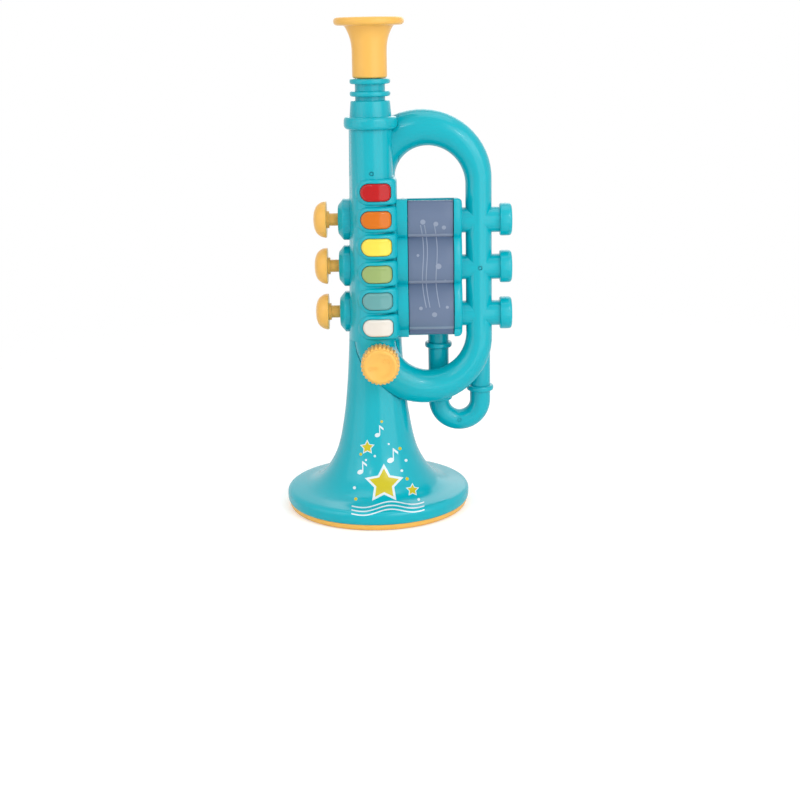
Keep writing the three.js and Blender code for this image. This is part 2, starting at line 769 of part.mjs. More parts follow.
function tuningSlide() {
  const y = slideY();
  const right = slideX + slideSpan;
  const stations = [{ x: slideX, y, z: casingBottom + wall, angle: Math.PI, radius: slideRadius }];
  const half = slideSpan / 2;
  const steps = 10;
  for (let k = 0; k <= steps; k += 1) {
    const angle = Math.PI * (1 + k / steps);
    const x = slideX + half + half * Math.cos(angle);
    stations.push({ x, y, z: slideBendZ + half * Math.sin(angle), angle, radius: slideRadius });
  }
  const angle = 2 * Math.PI;
  stations.push({ x: right, y, z: slideRightTop - slideRadius / 2, angle, radius: slideRadius });
  stations.push({ x: right, y, z: slideRightTop, angle, radius: slideRadius / 2 });
  const ring = (x, z) => turnedZ([[0, z - slideRingWidth / 2],
    [slideRingRadius - slideRingWidth / 4, z - slideRingWidth / 2],
    [slideRingRadius, z], [slideRingRadius - slideRingWidth / 4, z + slideRingWidth / 2],
    [0, z + slideRingWidth / 2]],
  x, y, coarse.sides);
  const bent = pipe(stations, coarse.sides);
  const rings = [...slideLeftRings.map((z) => ring(slideX, z)), ...slideRightRings.map((z) => ring(right, z))];
  return join([bent, ...rings]).subtract(lowerBend(-clearance));
}

// Valve parts
function valveNut(z, bodyForm) {
  const profile = [[stemRadius + clearance, nutX], [nutRadius - nutChamfer, nutX],
    [nutRadius, nutX + nutChamfer],
    [nutRadius, pistonY + nutSpigotEnd], [stemRadius + clearance, pistonY + nutSpigotEnd],
    [stemRadius + clearance, nutX]];
  const spigot = turnedX([[stemRadius + clearance, nutX + nutChamfer], [nutSpigotRadius, nutX + nutChamfer],
    [nutSpigotRadius, nutSpigotEnd], [stemRadius + clearance, nutSpigotEnd],
    [stemRadius + clearance, nutX + nutChamfer]],
  pistonY, z, valveSides);
  const saddle = turnedX(profile, pistonY, z, valveSides).subtract(bodyForm);
  const kept = saddle.intersect(block(-overrun, -backRadius / 2, -overrun, overrun, 0, overrun * 5));
  return kept.add(spigot);
}

function piston(z) {
  const headBack = headX + headThickness;
  const dome = headThickness / 3;
  const collarEnd = headBack + headCollarWidth;
  const flange = nutSpigotEnd + clearance;
  const profile = [[0, headX], [headRadius * 0.55, headX + dome * 0.2], [headRadius * 0.88, headX + dome],
    [headRadius, headX + dome * 2], [headRadius * 0.9, headBack], [headCollarRadius, headBack],
    [headCollarRadius, collarEnd], [stemRadius, collarEnd],
    [stemRadius, flange], [stemFlangeRadius, flange], [stemFlangeRadius, flange + stemFlangeWidth],
    [stemRadius / 2, flange + stemFlangeWidth], [stemRadius / 2, flange + stemFlangeWidth + stemNib],
    [0, flange + stemFlangeWidth + stemNib]];
  return turnedX(profile, pistonY, z, valveSides);
}

// Keys with a rounded rim
function key(k) {
  const face = faceCylinder(keyFaceRadius);
  const soft = faceCylinder(keyFaceRadius - clearance * 2);
  const crown = frontSlab(grownKeyOutline(k, -clearance * 2), -overrun, keyFoot).intersect(face);
  return frontSlab(grownKeyOutline(k, 0), -overrun, keyFoot).intersect(soft).add(crown);
}

function knob() {
  const outline = new THREE.Shape();
  const stepsPerRib = 4;
  const count = knobRibs * stepsPerRib;
  for (let k = 0; k < count; k += 1) {
    const turn = 2 * Math.PI * k / count;
    const phase = (k % stepsPerRib) / stepsPerRib;
    const radius = knobRadius - knobRibDepth * Math.abs(Math.sin(Math.PI * (phase + 1 / 2 / stepsPerRib)) - 1);
    const x = knobX + radius * Math.cos(turn);
    const z = knobZ + radius * Math.sin(turn);
    if (k === 0) outline.moveTo(x, z);
    else outline.lineTo(x, z);
  }
  outline.closePath();
  const ribbed = frontSlab(outline, knobFront, knobBack);
  const envelope = turnedY([[0, knobFront], [knobFaceRadius - knobEdge, knobFront],
    [knobFaceRadius, knobFront + knobEdge / 3],
    [knobRadius, knobFront + knobEdge * 1.5], [knobRadius, knobBack], [0, knobBack]], knobX, knobZ, bellSides);
  const socket = turnedY([[0, shaftEnd - clearance], [shaftRadius + clearance, shaftEnd - clearance],
    [shaftRadius + clearance, 0], [0, 0]], knobX, knobZ, smallSides);
  return ribbed.intersect(envelope).subtract(socket);
}

// Volume control: a round can in the boss, and the shaft that the knob turns
function potentiometer() {
  const back = potFront + potDepth;
  const bore = shaftRadius + clearance;
  const floor = potFront + potDepth / 2;
  return turnedY([[0, floor], [bore, floor], [bore, potFront], [potRadius, potFront], [potRadius, back],
    [0, back]],
    knobX, knobZ);
}

function knobShaft() {
  const back = potFront + potDepth / 2 - clearance;
  return turnedY([[0, shaftEnd], [shaftRadius, shaftEnd], [shaftRadius, back],
    [0, back]], knobX, knobZ, smallSides);
}

// Boards
function keyBoard() {
  const low = keyZ(keyCount - 1) - keyHeight / 2;
  const half = pipeRadius - wall * 2;
  return block(-half, half, keyBoardY - boardThickness, keyBoardY, low, keyTopZ + keyHeight / 2);
}

function keyPad() {
  const back = keyBoardY - boardThickness;
  const low = keyZ(keyCount - 1) - keyHeight / 2;
  const sheet = block(keyX - keyWidth / 3, keyX + keyWidth / 3, back - padThickness, back, low,
    keyTopZ + keyHeight / 2);
  const domes = [];
  for (let k = 0; k < keyCount; k += 1) {
    domes.push(turnedY([[0, padDomeTop], [padDomeRadius * 0.8, padDomeTop],
      [padDomeRadius, back - padThickness / 2],
      [0, back - padThickness / 2]], keyX, keyZ(k), smallSides));
  }
  return sheet.add(join(domes));
}

function pistonBoard() {
  const reach = (backRadius - wall) * Math.cos(Math.PI / coarse.sides);
  const edge = Math.sqrt(reach ** 2 - (pistonBoardX + boardThickness) ** 2) - clearance;
  const board = block(pistonBoardX, pistonBoardX + boardThickness, pistonY - nutSpigotRadius, edge,
    valveZ[2] - nutSpigotRadius, valveZ[0] + nutSpigotRadius);
  return join([board, ...valveZ.map((z) => block(switchTop, pistonBoardX + boardThickness / 2,
    pistonY - switchHalf, pistonY + switchHalf, z - switchHalf, z + switchHalf))]);
}

// One lamp stands behind the middle of each bay
function lightBoard() {
  const lampZ = Array.from({ length: bayCount }, (_, k) => lowestBayZ + (k + 1 / 2) * bayPitch);
  const left = casingScrewX + screwBossRadius + clearance;
  const right = casingRight - wall - clearance;
  const back = lightBoardY + boardThickness;
  const board = block(left, right, lightBoardY, back, lampZ[0] - lightBoardMargin, lampZ[2] + lightBoardMargin);
  const lamps = lampZ.map((z) => turnedY([[0, lightBoardY - lampHeight],
    [lampRadius * lampCrownShare, lightBoardY - lampHeight],
    [lampRadius, lightBoardY - lampHeight * lampCrownShare], [lampRadius, back - boardThickness / 2],
    [0, back - boardThickness / 2]], (lensLeft + lensRight) / 2, z, smallSides));
  return join([board, ...lamps]);
}

// Power
function cell(x) {
  const top = cellBottom + cellLength;
  const button = cellRadius / 3;
  return turnedZ([[0, cellBottom], [cellRadius, cellBottom], [cellRadius, top - contactThickness],
    [button, top - contactThickness], [button, top], [0, top]], x, cellY, smallSides);
}

function contactPlate(low) {
  return block(cellX[0] - cellRadius, cellX[2] + cellRadius, cellY - cellRadius, cellY + cellRadius,
    low, low + contactThickness);
}

function batteryDoor() {
  return block(doorLeft, doorRight, casingBack - doorThickness, casingBack, cellBottom - doorMargin,
    cellBottom + cellLength + doorMargin);
}

function screw({ x, z, seat }) {
  const top = seat - clearance * 2;
  const low = top - screwHead + clearance;
  return turnedY([[0, screwTip + clearance], [screwRadius, screwTip + clearance * 3], [screwRadius, low],
    [screwHeadRadius, low], [screwHeadRadius, top], [0, top]], x, z, postSides);
}

// Assembly
function assemble() {
  const trumpet = new THREE.Group();
  const outer = outerForm();
  const inner = innerForm();
  const grownBody = bodySolid(-clearance, fine);
  trumpet.add(node('mouthpiece', mouthpiece(), cream));
  trumpet.add(node('receiver', receiver(), turquoise));
  trumpet.add(node('front_shell', frontShell(outer, inner), turquoise));
  trumpet.add(node('back_shell', backShell(outer, inner), turquoise));
  trumpet.add(node('bell', bell(), turquoise));
  trumpet.add(node('speaker_grille', speakerGrille(), cream));
  trumpet.add(node('lamp_lens', lens(), smoke));
  trumpet.add(node('tuning_slide', tuningSlide(), turquoise));
  trumpet.add(node('volume_knob', knob(), cream));
  trumpet.add(node('potentiometer', potentiometer(), darkPart));
  trumpet.add(node('knob_shaft', knobShaft(), steel));
  trumpet.add(node('speaker', speaker(), darkPart));
  trumpet.add(node('key_board', keyBoard(), boardGreen));
  trumpet.add(node('key_pad', keyPad(), silicone));
  trumpet.add(node('piston_board', pistonBoard(), boardGreen));
  trumpet.add(node('light_board', lightBoard(), boardGreen));
  for (let k = 0; k < keyCount; k += 1) {
    trumpet.add(node(`key_${keyNames[k]}`, key(k), { ...turquoise, color: keyColours[k] }));
  }
  valveZ.forEach((z, k) => {
    trumpet.add(node(`valve_nut_${k + 1}`, valveNut(z, grownBody), turquoise));
    trumpet.add(node(`piston_${k + 1}`, piston(z), cream));
  });
  cellX.forEach((x, k) => trumpet.add(node(`battery_${k + 1}`, cell(x), cellCover)));
  trumpet.add(node('contact_lower', contactPlate(cellBottom - contactThickness - clearance), steel));
  trumpet.add(node('contact_upper', contactPlate(cellBottom + cellLength + clearance), steel));
  trumpet.add(node('battery_door', batteryDoor(), turquoise));
  screws().forEach((place, k) => trumpet.add(node(`shell_screw_${k + 1}`, screw(place), steel)));
  return trumpet;
}

const trumpet = assemble();
trumpet.position.x = (bellRimRadius - capX - capLength) / 2;
trumpet.updateMatrixWorld(true);
export default trumpet;
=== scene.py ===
"""Looks of the toy trumpet: shells, keys, valves, bell and prints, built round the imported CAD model.

Shapes are laid out in millimetres with the bell's axis at X 0, as the part is, and finished in
metres in the row frame.
"""

import logging
import math
from dataclasses import dataclass
from enum import Enum
from typing import Callable, Iterable, Sequence

import bmesh
import bpy
from mathutils import Matrix, Vector


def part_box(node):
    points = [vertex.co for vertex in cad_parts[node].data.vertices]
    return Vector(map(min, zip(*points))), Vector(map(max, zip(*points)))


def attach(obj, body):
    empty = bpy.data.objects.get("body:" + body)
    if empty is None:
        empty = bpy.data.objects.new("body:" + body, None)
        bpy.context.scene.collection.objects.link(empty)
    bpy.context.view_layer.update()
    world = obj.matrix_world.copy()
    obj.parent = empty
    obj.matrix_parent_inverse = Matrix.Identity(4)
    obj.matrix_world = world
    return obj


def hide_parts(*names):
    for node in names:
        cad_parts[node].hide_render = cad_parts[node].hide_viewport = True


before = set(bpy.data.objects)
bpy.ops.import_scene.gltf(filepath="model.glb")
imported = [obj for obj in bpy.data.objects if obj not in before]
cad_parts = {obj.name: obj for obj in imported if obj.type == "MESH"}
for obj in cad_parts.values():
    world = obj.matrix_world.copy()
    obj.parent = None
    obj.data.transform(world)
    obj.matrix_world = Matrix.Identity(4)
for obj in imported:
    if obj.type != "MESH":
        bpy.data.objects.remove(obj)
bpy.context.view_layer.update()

log = logging.getLogger("toy_trumpet")

MM = 0.001
BELL_LOW, BELL_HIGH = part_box("bell")
BELL_X = (BELL_LOW.x + BELL_HIGH.x) / 2
FULL_TURN = 2 * math.pi
QUARTER = math.pi / 2

# Steps in a full turn of a large and of a small round shape
ROUND_SIDES = 96
SMALL_SIDES = 40

# Points nearer than this are merged, and cuts end this far out, in millimetres
MERGE = 1e-4
REACH = 400.0

Point = tuple[float, float]
Corner = tuple[float, float, float]
Colour = tuple[float, float, float]
Station = tuple[Vector, float, float]
Solid = bmesh.types.BMesh


class Axis(Enum):
    """The way a turned shape's heights run, as the turn that lays Z along it."""

    X = Matrix.Rotation(QUARTER, 4, "Y")
    Y = Matrix.Rotation(-QUARTER, 4, "X")
    Z = Matrix.Identity(4)


class Cut(Enum):
    """Boolean operations."""

    JOIN = "UNION"
    TAKE = "DIFFERENCE"
    KEEP = "INTERSECT"


# Lines


def rounded(corners: Iterable[Corner], steps: int = 6, closed: bool = False) -> list[Point]:
    """Rounds a line's corners.

    Args:
        corners: Each corner as x, y and how far from it the rounding starts, 0 for a sharp one.
        steps: Points in each rounding.
        closed: Whether the last corner leads back to the first.

    Returns:
        The points of the line.
    """
    corners = list(corners)
    line: list[Point] = []
    for k, (x, y, reach) in enumerate(corners):
        here = Vector((x, y))
        if reach == 0 or (not closed and k in (0, len(corners) - 1)):
            line.append((x, y))
            continue
        ends = []
        for other in (corners[k - 1], corners[(k + 1) % len(corners)]):
            way = Vector(other[:2]) - here
            ends.append(here + way.normalized() * min(reach, way.length / 2))
        for step in range(steps + 1):
            share = step / steps
            point = ends[0] * (1 - share) ** 2 + here * (2 * share * (1 - share)) + ends[1] * share**2
            line.append((point.x, point.y))
    return line


def curved(points: Sequence[Point], steps: int = 6) -> list[Point]:
    """Lays a smooth line through points.

    Args:
        points: The points it passes.
        steps: Points from one to the next.

    Returns:
        The points of the smooth line.
    """
    ends = [points[0], *points, points[-1]]
    line: list[Point] = []
    for k in range(len(points) - 1):
        a, b, c, d = (Vector(p) for p in ends[k : k + 4])
        for step in range(steps):
            t = step / steps
            bow, twist = a * 2 - b * 5 + c * 4 - d, b * 3 - a - c * 3 + d
            point = (b * 2 + (c - a) * t + bow * t**2 + twist * t**3) / 2
            line.append((point.x, point.y))
    line.append(tuple(points[-1]))
    return line


def eased(share: float) -> float:
    """Turns an even share of the way into one that starts and ends softly."""
    return share * share * (3 - 2 * share)


# Solids


def settle(bm: Solid) -> Solid:
    """Merges doubled points and turns all faces outwards."""
    bmesh.ops.remove_doubles(bm, verts=bm.verts, dist=MERGE)
    bmesh.ops.recalc_face_normals(bm, faces=bm.faces)
    return bm


def turned(
    profile: Sequence[Point],
    axis: Axis = Axis.Z,
    at: Corner = (0, 0, 0),
    sides: int = ROUND_SIDES,
    closed: bool = False,
) -> Solid:
    """Turns a profile of radius and height round an axis.

    Args:
        profile: The points, from axis to axis unless closed.
        axis: The way the heights run.
        at: A point on the axis.
        sides: Steps in a full turn.
        closed: Whether the last point leads back to the first.

    Returns:
        The solid.
    """
    bm = bmesh.new()
    verts = [bm.verts.new((r, 0, h)) for r, h in profile]
    edges = [bm.edges.new(pair) for pair in zip(verts, verts[1:])]
    if closed:
        edges.append(bm.edges.new((verts[-1], verts[0])))
    turn = {"cent": (0, 0, 0), "axis": (0, 0, 1), "angle": FULL_TURN, "steps": sides}
    bmesh.ops.spin(bm, geom=[*verts, *edges], use_merge=True, **turn)
    bmesh.ops.transform(bm, matrix=Matrix.Translation(at) @ axis.value, verts=bm.verts)
    return settle(bm)


def rod(
    radius: float, ends: Point, axis: Axis = Axis.Z, at: Corner = (0, 0, 0), sides: int = SMALL_SIDES
) -> Solid:
    """Makes a plain cylinder between two heights along an axis."""
    low, high = ends
    return turned([(0, low), (radius, low), (radius, high), (0, high)], axis, at, sides)


def lofted(loops: Sequence[Sequence[Vector]], paired_end: bool = False) -> Solid:
    """Joins closed loops of the same count of points to a solid.

    Args:
        loops: The loops in order.
        paired_end: Whether the last loop's cap joins its first half to its second, point by point.

    Returns:
        The solid, with a flat face on each other end.
    """
    bm = bmesh.new()
    ring = [bm.verts.new(p) for p in loops[0]]
    edges = [bm.edges.new(pair) for pair in zip(ring, ring[1:] + ring[:1])]
    bmesh.ops.contextual_create(bm, geom=edges)
    for loop in loops[1:]:
        made = bmesh.ops.extrude_edge_only(bm, edges=edges)["geom"]
        new = {v for v in made if isinstance(v, bmesh.types.BMVert)}
        follow = {e.other_vert(v): v for v in new for e in v.link_edges if e.other_vert(v) not in new}
        ring = [follow[v] for v in ring]
        for vert, place in zip(ring, loop):
            vert.co = place
        edges = [e for e in made if isinstance(e, bmesh.types.BMEdge) and all(v in new for v in e.verts)]
    if paired_end:
        half = len(ring) // 2
        near, far = ring[:half], ring[: half - 1 : -1]
        for k in range(half - 1):
            bm.faces.new((near[k], near[k + 1], far[k + 1], far[k]))
    else:
        bmesh.ops.contextual_create(bm, geom=edges)
    return settle(bm)


def block(x: Point, y: Point, z: Point) -> Solid:
    """Makes a box from its lowest and highest X, Y and Z."""
    bm = bmesh.new()
    bmesh.ops.create_cube(bm, size=1)
    middle = Vector([(low + high) / 2 for low, high in (x, y, z)])
    size = Matrix.Diagonal((*[high - low for low, high in (x, y, z)], 1))
    bmesh.ops.transform(bm, matrix=Matrix.Translation(middle) @ size, verts=bm.verts)
    return bm


def placed(name: str, data: bpy.types.ID) -> bpy.types.Object:
    """Makes an object of some data and puts it in the scene."""
    thing = bpy.data.objects.new(name, data)
    bpy.context.scene.collection.objects.link(thing)
    return thing


def mesh_of(bm: Solid, name: str = "scratch") -> bpy.types.Mesh:
    """Makes a mesh of a solid."""
    mesh = bpy.data.meshes.new(name)
    bm.to_mesh(mesh)
    return mesh


def shown(thing: bpy.types.Object) -> Solid:
    """Reads an object as it shows, with its modifiers applied or its text laid out."""
    seen = thing.evaluated_get(bpy.context.evaluated_depsgraph_get())
    bm = bmesh.new()
    bm.from_mesh(seen.to_mesh())
    seen.to_mesh_clear()
    return bm


def combined(base: Solid, tools: Iterable[Solid], cut: Cut) -> Solid:
    """Applies a boolean with each tool in turn.

    Args:
        base: The solid to start from.
        tools: The solids to join, take away or keep the overlap with.
        cut: The operation.

    Returns:
        A new solid.
    """
    things = [placed("scratch", mesh_of(bm)) for bm in (base, *tools)]
    for tool in things[1:]:
        modifier = things[0].modifiers.new("cut", "BOOLEAN")
        modifier.operation = cut.value
        modifier.solver = "MANIFOLD"
        modifier.object = tool
    result = shown(things[0])
    for thing in things:
        mesh = thing.data
        bpy.data.objects.remove(thing)
        bpy.data.meshes.remove(mesh)
    return result


def joined(solids: Sequence[Solid]) -> Solid:
    """Joins solids to one."""
    return combined(solids[0], solids[1:], Cut.JOIN)


def gathered(solids: Iterable[Solid]) -> Solid:
    """Puts solids that don't touch into one mesh."""
    bm = bmesh.new()
    for part in solids:
        mesh = mesh_of(part)
        bm.from_mesh(mesh)
        bpy.data.meshes.remove(mesh)
    return bm


# Sizes that several sub-assemblies share, in millimetres


@dataclass(frozen=True)
class Layout:
    """Driving sizes of the trumpet: heights are along Z, and depths along Y, where the back is plus."""

    wall: float = 2.0
    gap: float = 0.3
    seam: float = 0.1
    pipe_y: float = -12.0
    pipe_radius: float = 13.8
    back_radius: float = 14.8
    back_growth: float = 3.0
    back_swell: float = 1.3
    body_top: float = 258.4
    body_low: float = 118.0
    fairing_top: float = 228.0
    loop_y: float = -8.0
    loop_back_y: float = 2.0
    throat_top: float = 120.0
    throat_swell: float = 1.4
    bell_joint: Point = (19.6, 87.4)
    bend_radius: float = 35.1
    right_x: float = 70.2
    right_radius: float = 8.7
    lower_bend_z: float = 120.0
    upper_bend_z: float = 223.0
    upper_rise: float = 35.5
    upper_end: float = 17.9
    collar_room: float = 17.75
    collar_round: float = 3.4
    upper_end_radius: float = 15.2
    valve_z: tuple[float, ...] = (197.5, 166.0, 134.5)
    piston_y: float = 5.0
    stub_radius: float = 8.4
    stub_foot: float = 0.3
    cap_x: float = 84.0
    cap_length: float = 8.0
    cap_radius: float = 10.8
    cap_round: float = 2.4
    cap_back_round: float = 1.2
    casing_x: Point = (15.2, 58.8)
    casing_z: Point = (119.9, 213.6)
    casing_fall: float = 4.0
    casing_back: float = 17.0
    casing_crest: float = -21.6
    casing_valley: float = -15.4
    casing_corner: float = 3.2
    bay_low: float = 125.0
    bay_pitch: float = 31.2
    bay_count: int = 3
    lens_x: Point = (22.8, 53.4)
    lens_sink: float = 1.3
    lens_wall: float = 1.8
    key_count: int = 6
    key_top_z: float = 218.6
    key_pitch: float = 17.9
    key_x: float = 2.4
    key_centre_y: float = -9.2
    knob_x: float = 3.6
    knob_z: float = 106.0
    boss_radius: float = 12.4
    boss_face: float = -26.3
    boss_round: float = 1.8
    boss_draft: float = 0.4
    slide_x: float = 43.1
    slide_y: float = 8.0
    slide_radius: float = 7.0
    screw_radius: float = 2.8
    screw_sink: float = 2.4
    # X, height and depth of the face that each screw sinks in
    screws: tuple[Corner, ...] = (
        (0, 231, 15.1), (-3, 116, 17.4), (70.2, 166, 0.7), (20, 205.6, 17), (20, 127.9, 17),
    )

    @property
    def pipe_at(self) -> Corner:
        """A point on the axis of the front pipe."""
        return 0, self.pipe_y, 0

    @property
    def knob_at(self) -> Corner:
        """A point on the axis of the volume knob."""
        return self.knob_x, 0, self.knob_z

    def key_z(self, k: int) -> float:
        """Height of a key's middle, with the keys numbered from 0 at the top."""
        return self.key_top_z - k * self.key_pitch

    def back(self, z: float) -> float:
        """Radius of the back tube, which widens on its way down to the bell."""
        share = (self.body_top - z) / (self.body_top - self.body_low)
        return self.back_radius + self.back_growth * min(max(share, 0), 1) ** self.back_swell

    def throat(self, grow: float, steps: int = 12) -> list[Point]:
        """The bell's throat, from its joint up to the back tube, grown by a clearance."""
        radius, low = self.bell_joint
        end = self.back(self.throat_top)
        line = []
        for k in range(steps + 1):
            share = k / steps
            narrowing = (radius - end) * (1 - share) ** self.throat_swell
            line.append((end + narrowing + grow, low + (self.throat_top - low) * share))
        return line


SIZES = Layout()


# Materials


@dataclass(frozen=True)
class Finish:
    """A moulded or metal surface: base colour, gloss and the fine uneven spots of its gloss."""

    name: str
    colour: Colour
    roughness: float
    metallic: float = 0.0
    mottle: float = 0.03
    alpha: float = 1.0
    slot: str | None = None
    speckle: float = 180.0
    flow: float = 20.0
    swell: float = 0.02
    specular: float = 0.35


def srgb(code: int) -> Colour:
    """Turns a colour as written on screen, 0xRRGGBB, into linear values."""
    parts = [(code >> shift & 255) / 255 for shift in (16, 8, 0)]
    return tuple(p / 12.92 if p <= 0.04045 else ((p + 0.055) / 1.055) ** 2.4 for p in parts)


TURQUOISE = Finish("turquoise", srgb(0x02B1C0), 0.18, slot="turquoise_plastic")
CREAM = Finish("cream", srgb(0xF7BE5C), 0.28, slot="cream_plastic")
SMOKE = Finish("smoke", srgb(0x7F90AE), 0.12, alpha=0.72, slot="smoke_lens")
STEEL = Finish("screw_steel", srgb(0xB9BCC0), 0.35, metallic=1.0, mottle=0.08)
DARK = Finish("dark", srgb(0x24262A), 0.6, mottle=0.1)
BOARD = Finish("board", srgb(0x2C6B45), 0.5, mottle=0.12)
SILICONE = Finish("silicone", srgb(0xD9D9D4), 0.75)
CELL = Finish("cell", srgb(0x3C4A5C), 0.35, metallic=0.3)
KEY_COLOURS = {
    "red": 0xC00207, "orange": 0xDC7200, "yellow": 0xF8E250,
    "green": 0x9BB26C, "teal": 0x68A5A5, "white": 0xE8E2D8,
}
KEY_FINISHES = {
    name: Finish(f"{name}_key", srgb(code), 0.12, slot=f"{name}_plastic")
    for name, code in KEY_COLOURS.items()
}


def operator(operation: str, flip: bool = False) -> Callable[..., "Value"]:
    """Makes a method that applies an operation of the Math node to a value.

    Args:
        operation: The operation.
        flip: Whether the value comes last.

    Returns:
        The method, which takes the operation's other numbers or values.
    """

    def apply(value: "Value", *others: "Value | float") -> "Value":
        parts = (*others, value) if flip else (value, *others)
        return value.graph.node("ShaderNodeMath", dict(enumerate(parts)), operation=operation)

    return apply


class Value:
    """A socket of a shader graph that can be added, multiplied and compared like a number."""

    def __init__(self, graph: "Graph", socket: bpy.types.NodeSocket) -> None:
        self.graph = graph
        self.socket = socket

    __add__ = __radd__ = operator("ADD")
    __sub__, __rsub__ = operator("SUBTRACT"), operator("SUBTRACT", flip=True)
    __mul__ = __rmul__ = operator("MULTIPLY")
    __truediv__ = operator("DIVIDE")
    __lt__, __gt__ = operator("LESS_THAN"), operator("GREATER_THAN")
    absolute, fraction, root = operator("ABSOLUTE"), operator("FRACT"), operator("SQRT")
    sine, cosine, angle = operator("SINE"), operator("COSINE"), operator("ARCTAN2")
    larger = operator("MAXIMUM")


class Graph:
    """The node graph of a material or world under construction."""

    def __init__(
        self, owner: bpy.types.Material | bpy.types.World, shader: str = "Principled BSDF"
    ) -> None:
        owner.use_nodes = True
        self.owner = owner
        self.nodes, self.links = owner.node_tree.nodes, owner.node_tree.links
        self.shader = self.nodes[shader]
        self.base: Value | None = None

    def node(
        self, kind: str, inputs: dict | None = None, output: int | str = 0, **settings: object
    ) -> Value:
        """Adds a node.

        Args:
            kind: The node's type.
            inputs: Values or constants by socket name or number.
            output: The socket to hand back.
            settings: Properties of the node.

        Returns:
            The chosen output.
        """
        made = self.nodes.new(kind)
        for key, setting in settings.items():
            setattr(made, key, setting)
        for key, value in (inputs or {}).items():
            self.feed(made.inputs[key], value)
        return Value(self, made.outputs[output])

    def feed(self, socket: bpy.types.NodeSocket, value: object) -> None:
        """Links a value to a socket, or sets the socket to a constant."""
        if isinstance(value, Value):
            self.links.new(value.socket, socket)
        else:
            socket.default_value = value

    def set(self, name: str, value: object) -> None:
        """Feeds one input of the shader."""
        self.feed(self.shader.inputs[name], value)

    def place(self) -> Value:
        """The point in the row frame, in metres."""
        return self.node("ShaderNodeTexCoord", output="Object")

    def axes(self) -> tuple[Value, Value, Value]:
        """X, Y and Z in millimetres, with the bell's axis at X 0."""
        x, y, z = (self.node("ShaderNodeSeparateXYZ", {0: self.place()}, output=k) for k in range(3))
        return (x - BELL_X) / MM, y / MM, z / MM

    def mix(self, share: Value | float, first: object, second: object) -> Value:
        """Mixes two colours, by the sockets that the Mix node keeps for colours."""
        inputs = {0: share, 6: self.rgba(first), 7: self.rgba(second)}
        return self.node("ShaderNodeMix", inputs, output=2, data_type="RGBA")

    @staticmethod
    def rgba(colour: object) -> object:
        """Adds full opacity to a plain colour."""
        return colour if isinstance(colour, Value) else (*colour, 1)


def moulded(finish: Finish, name: str = "") -> Graph:
    """Makes a plastic or metal material with slightly uneven colour and gloss.

    Args:
        finish: Its looks.
        name: The material's name, where it isn't the finish's.

    Returns:
        The graph, which more can be added to.
    """
    graph = Graph(bpy.data.materials.new(name or finish.name))
    place = graph.place()
    spots, flow = (
        graph.node("ShaderNodeTexNoise", {"Vector": place, "Scale": scale, "Detail": detail})
        for scale, detail in ((finish.speckle, 3.0), (finish.flow, 1.0))
    )
    darker = tuple(c * (1 - finish.mottle) for c in finish.colour)
    graph.base = graph.mix(spots, finish.colour, darker)
    graph.set("Base Color", graph.base)
    graph.set("Roughness", finish.roughness + (flow - 0.5) * finish.mottle * 2)
    graph.set("Metallic", finish.metallic)
    graph.set("Specular IOR Level", finish.specular)
    graph.set("Alpha", finish.alpha)
    rise = graph.node("ShaderNodeBump", {"Height": flow, "Strength": finish.swell, "Distance": MM})
    graph.set("Normal", rise)
    return graph


class Materials:
    """Materials by name, made once each."""

    def __init__(self) -> None:
        self.made: dict[str, bpy.types.Material] = {}

    def get(self, finish: Finish, name: str = "") -> bpy.types.Material:
        """Returns a finish's material, or one of its looks under another name, made at its first use."""
        name = name or finish.name
        if name not in self.made:
            self.made[name] = moulded(finish, name).owner
        return self.made[name]


MATERIALS = Materials()


def finished(
    bm: Solid,
    name: str,
    finish: Finish,
    stands_for: Sequence[str],
    body: str = "root",
    material: bpy.types.Material | None = None,
    crease: float = 32.0,
) -> None:
    """Turns a solid in millimetres into a piece of the scene.

    Args:
        bm: The solid.
        name: The piece's name.
        finish: Its finish.
        stands_for: CAD nodes that it takes the place of.
        body: The CAD body it rides on.
        material: Its material, where that is more than the finish.
        crease: Edges sharper than this many degrees stay sharp.
    """
    place = Matrix.Translation((BELL_X, 0, 0)) @ Matrix.Scale(MM, 4)
    bmesh.ops.transform(bm, matrix=place, verts=bm.verts)
    for face in bm.faces:
        face.smooth = True
    for edge in bm.edges:
        edge.smooth = len(edge.link_faces) == 2 and edge.calc_face_angle(math.pi) < math.radians(crease)
    mesh = mesh_of(bm, name)
    bm.free()
    mesh.materials.append(material or MATERIALS.get(finish))
    piece = placed(name, mesh)
    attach(piece, body)
    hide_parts(*stands_for)
    log.info("%s: %d faces on %s", name, len(mesh.polygons), body)


# Prints and reliefs


def any_of(masks: Sequence[Value]) -> Value:
    """Mask of what any of the masks covers."""
    whole = masks[0]
    for mask in masks[1:]:
        whole = whole.larger(mask)
    return whole


def within(value: Value, low: float, high: float) -> Value:
    """Mask of where a value lies between two bounds."""
    return (value > low) * (value < high)


def disc(x: Value, y: Value, at: Corner, stretch: float = 1.0, lean: float = 0.0) -> Value:
    """Mask of a round or oval spot, given its middle and radius."""
    right, up = x - at[0], y - at[1]
    along = (right * math.cos(lean) + up * math.sin(lean)) / stretch
    across = up * math.cos(lean) - right * math.sin(lean)
    return (along * along + across * across) < at[2] ** 2


